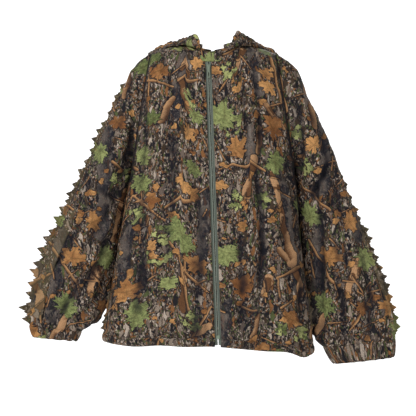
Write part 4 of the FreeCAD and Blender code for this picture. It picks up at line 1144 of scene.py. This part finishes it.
coil_recipe = Recipe("zip coil")
place = coil_recipe.add("ShaderNodeTexCoord").outputs["Object"]
wear = coil_recipe.noise(place, 900.0, 2.0)
COIL = coil_recipe.shade(Base_Color=coil_recipe.mix(wear, (0.15, 0.175, 0.14, 1), (0.25, 0.28, 0.235, 1)),
                         Roughness=wear.between(0.3, 0.7, 0.35, 0.5))
for name, sign, low in (("right", -1, 10.0), ("left", 1, 23.0)):
    pitch, wire = 1.7, 0.42
    turns = int((680.0 - low) / pitch)
    t = np.linspace(0, turns * 2 * math.pi, turns * 9)
    x = sign * (2.05 + 1.0 * np.cos(t))
    y = -1.15 + 0.85 * np.sin(t)
    z = low + pitch * t / (2 * math.pi)
    line = in_zip(x, y, z)
    ahead = np.gradient(line, axis=0)
    ahead /= np.linalg.norm(ahead, axis=1, keepdims=True)
    one = np.cross(ahead, UP)
    one /= np.linalg.norm(one, axis=1, keepdims=True)
    two = np.cross(ahead, one)
    round_way = np.linspace(0, 2 * math.pi, 6)[:-1]
    rings = np.stack([line + wire * (math.cos(a) * one + math.sin(a) * two) for a in round_way], 1)
    count, around = rings.shape[:2]
    index = np.arange(count * around).reshape(count, around)
    after = np.roll(index, -1, axis=1)
    faces = np.stack([index[:-1], after[:-1], after[1:], index[1:]], -1).reshape(-1, 4)
    mesh = bpy.data.meshes.new(f"zip_coil_{name}")
    mesh.from_pydata((rings.reshape(-1, 3) * MM).tolist(), [], faces.tolist())
    coil = add_object(f"zip_coil_{name}_helix", mesh)
    coil.data.materials.append(COIL)
    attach(coil, "torso")
    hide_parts(f"zip_coil_{name}")

# The tab above the zip: a folded band of the same cloth that closes the front of the neck.
z, x = np.meshgrid(np.linspace(-6.0, -32.0, 16), np.linspace(-31.0, 22.0, 34), indexing="ij")
bow = 1 - ((x + 4.5) / 27.0) ** 2
y = -(69.5 + 1.6 * bow + 0.5 * np.sin(x / 5.0)) + 3.0 * smooth(-14, -6, z)
points = np.stack([x, y, z - 2.0 * bow + 1.2 * np.sin(x / 7.0) * smooth(-12, -6, z)], -1)
garage = cloth_piece("zip_garage_cloth", points, np.stack([x + 33, z - 128], -1), PRINTED, "torso",
                     ["zip_garage"], 0.0)
declare(garage, points)


def metal(name, colour, rough, metallic):
    recipe = Recipe(name)
    place = recipe.add("ShaderNodeTexCoord").outputs["Object"]
    wear = recipe.noise(place, 700.0, 3.0)
    shade = tuple(c * 0.7 for c in colour[:3]) + (1,)
    recipe.shader.inputs["Metallic"].default_value = metallic
    return recipe.shade(Base_Color=recipe.mix(wear, shade, colour),
                        Roughness=wear.between(0.3, 0.7, rough, rough + 0.15))


PAINTED = metal("painted metal", (0.16, 0.19, 0.14, 1), 0.32, 0.6)
MOULDED = metal("moulded ends", (0.12, 0.16, 0.11, 1), 0.45, 0.0)
for node, finish in (("zip_slider", PAINTED), ("zip_pull", PAINTED), ("zip_box", MOULDED), ("zip_pin", MOULDED),
                     ("zip_top_stops", MOULDED)):
    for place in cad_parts[node].material_slots:
        place.material = finish

# %% [markdown]
# ## The studio
# A plain pale room with one large soft light above and to the side, and a weaker one opposite. The lens
# is long and level with the middle of the jacket, so the shape isn't distorted.

# %% Light, room and camera
def area_light(name, place, target, size, power):
    light = bpy.data.lights.new(name, "AREA")
    light.shape = "SQUARE"
    light.size = size
    light.energy = power
    lamp = bpy.data.objects.new(name, light)
    lamp.location = place
    lamp.rotation_euler = (Vector(target) - Vector(place)).to_track_quat("-Z", "Y").to_euler()
    bpy.context.scene.collection.objects.link(lamp)


AIM = (-0.0125, 0.0, -0.395)
area_light("key", (-1.7, -2.2, 1.5), AIM, 1.2, 105)
area_light("fill", (2.4, -2.6, 0.1), AIM, 2.0, 26)
area_light("rear", (0.8, 2.4, 1.4), AIM, 1.4, 60)

world = bpy.data.worlds.new("room")
world.use_nodes = True
world.node_tree.nodes["Background"].inputs["Color"].default_value = (0.93, 0.94, 0.95, 1)
world.node_tree.nodes["Background"].inputs["Strength"].default_value = 0.52
bpy.context.scene.world = world

# A white sweep of paper: a floor that curves up into a wall, with a little light of its own.
FLOOR, WALL_Y, BEND = -1.2, 8.0, 2.5
profile = [(-12.0, FLOOR)]
for turn in np.linspace(0, math.pi / 2, 24):
    profile.append((WALL_Y - BEND + BEND * math.sin(turn), FLOOR + BEND - BEND * math.cos(turn)))
profile.append((WALL_Y, 12.0))
corners = [(x, y, z) for y, z in profile for x in (-14.0, 14.0)]
faces = [(2 * k, 2 * k + 1, 2 * k + 3, 2 * k + 2) for k in range(len(profile) - 1)]
sweep_mesh = bpy.data.meshes.new("paper_sweep")
sweep_mesh.from_pydata(corners, [], faces)
sweep = add_object("paper_sweep", sweep_mesh)
paper = Recipe("paper")
paper.shader.inputs["Emission Color"].default_value = (1, 1, 1, 1)
paper.shader.inputs["Emission Strength"].default_value = 0.50
sweep.data.materials.append(paper.shade(Base_Color=(0.9, 0.9, 0.9, 1), Roughness=0.95))

lens = bpy.data.cameras.new("camera")
lens.lens = 138.0
lens.sensor_width = 36.0
camera = bpy.data.objects.new("camera", lens)
camera.location = (AIM[0], -4.0, AIM[2])
camera.rotation_euler = (math.pi / 2, 0, 0)
bpy.context.scene.collection.objects.link(camera)
bpy.context.scene.camera = camera
bpy.context.scene.view_settings.view_transform = "Standard"
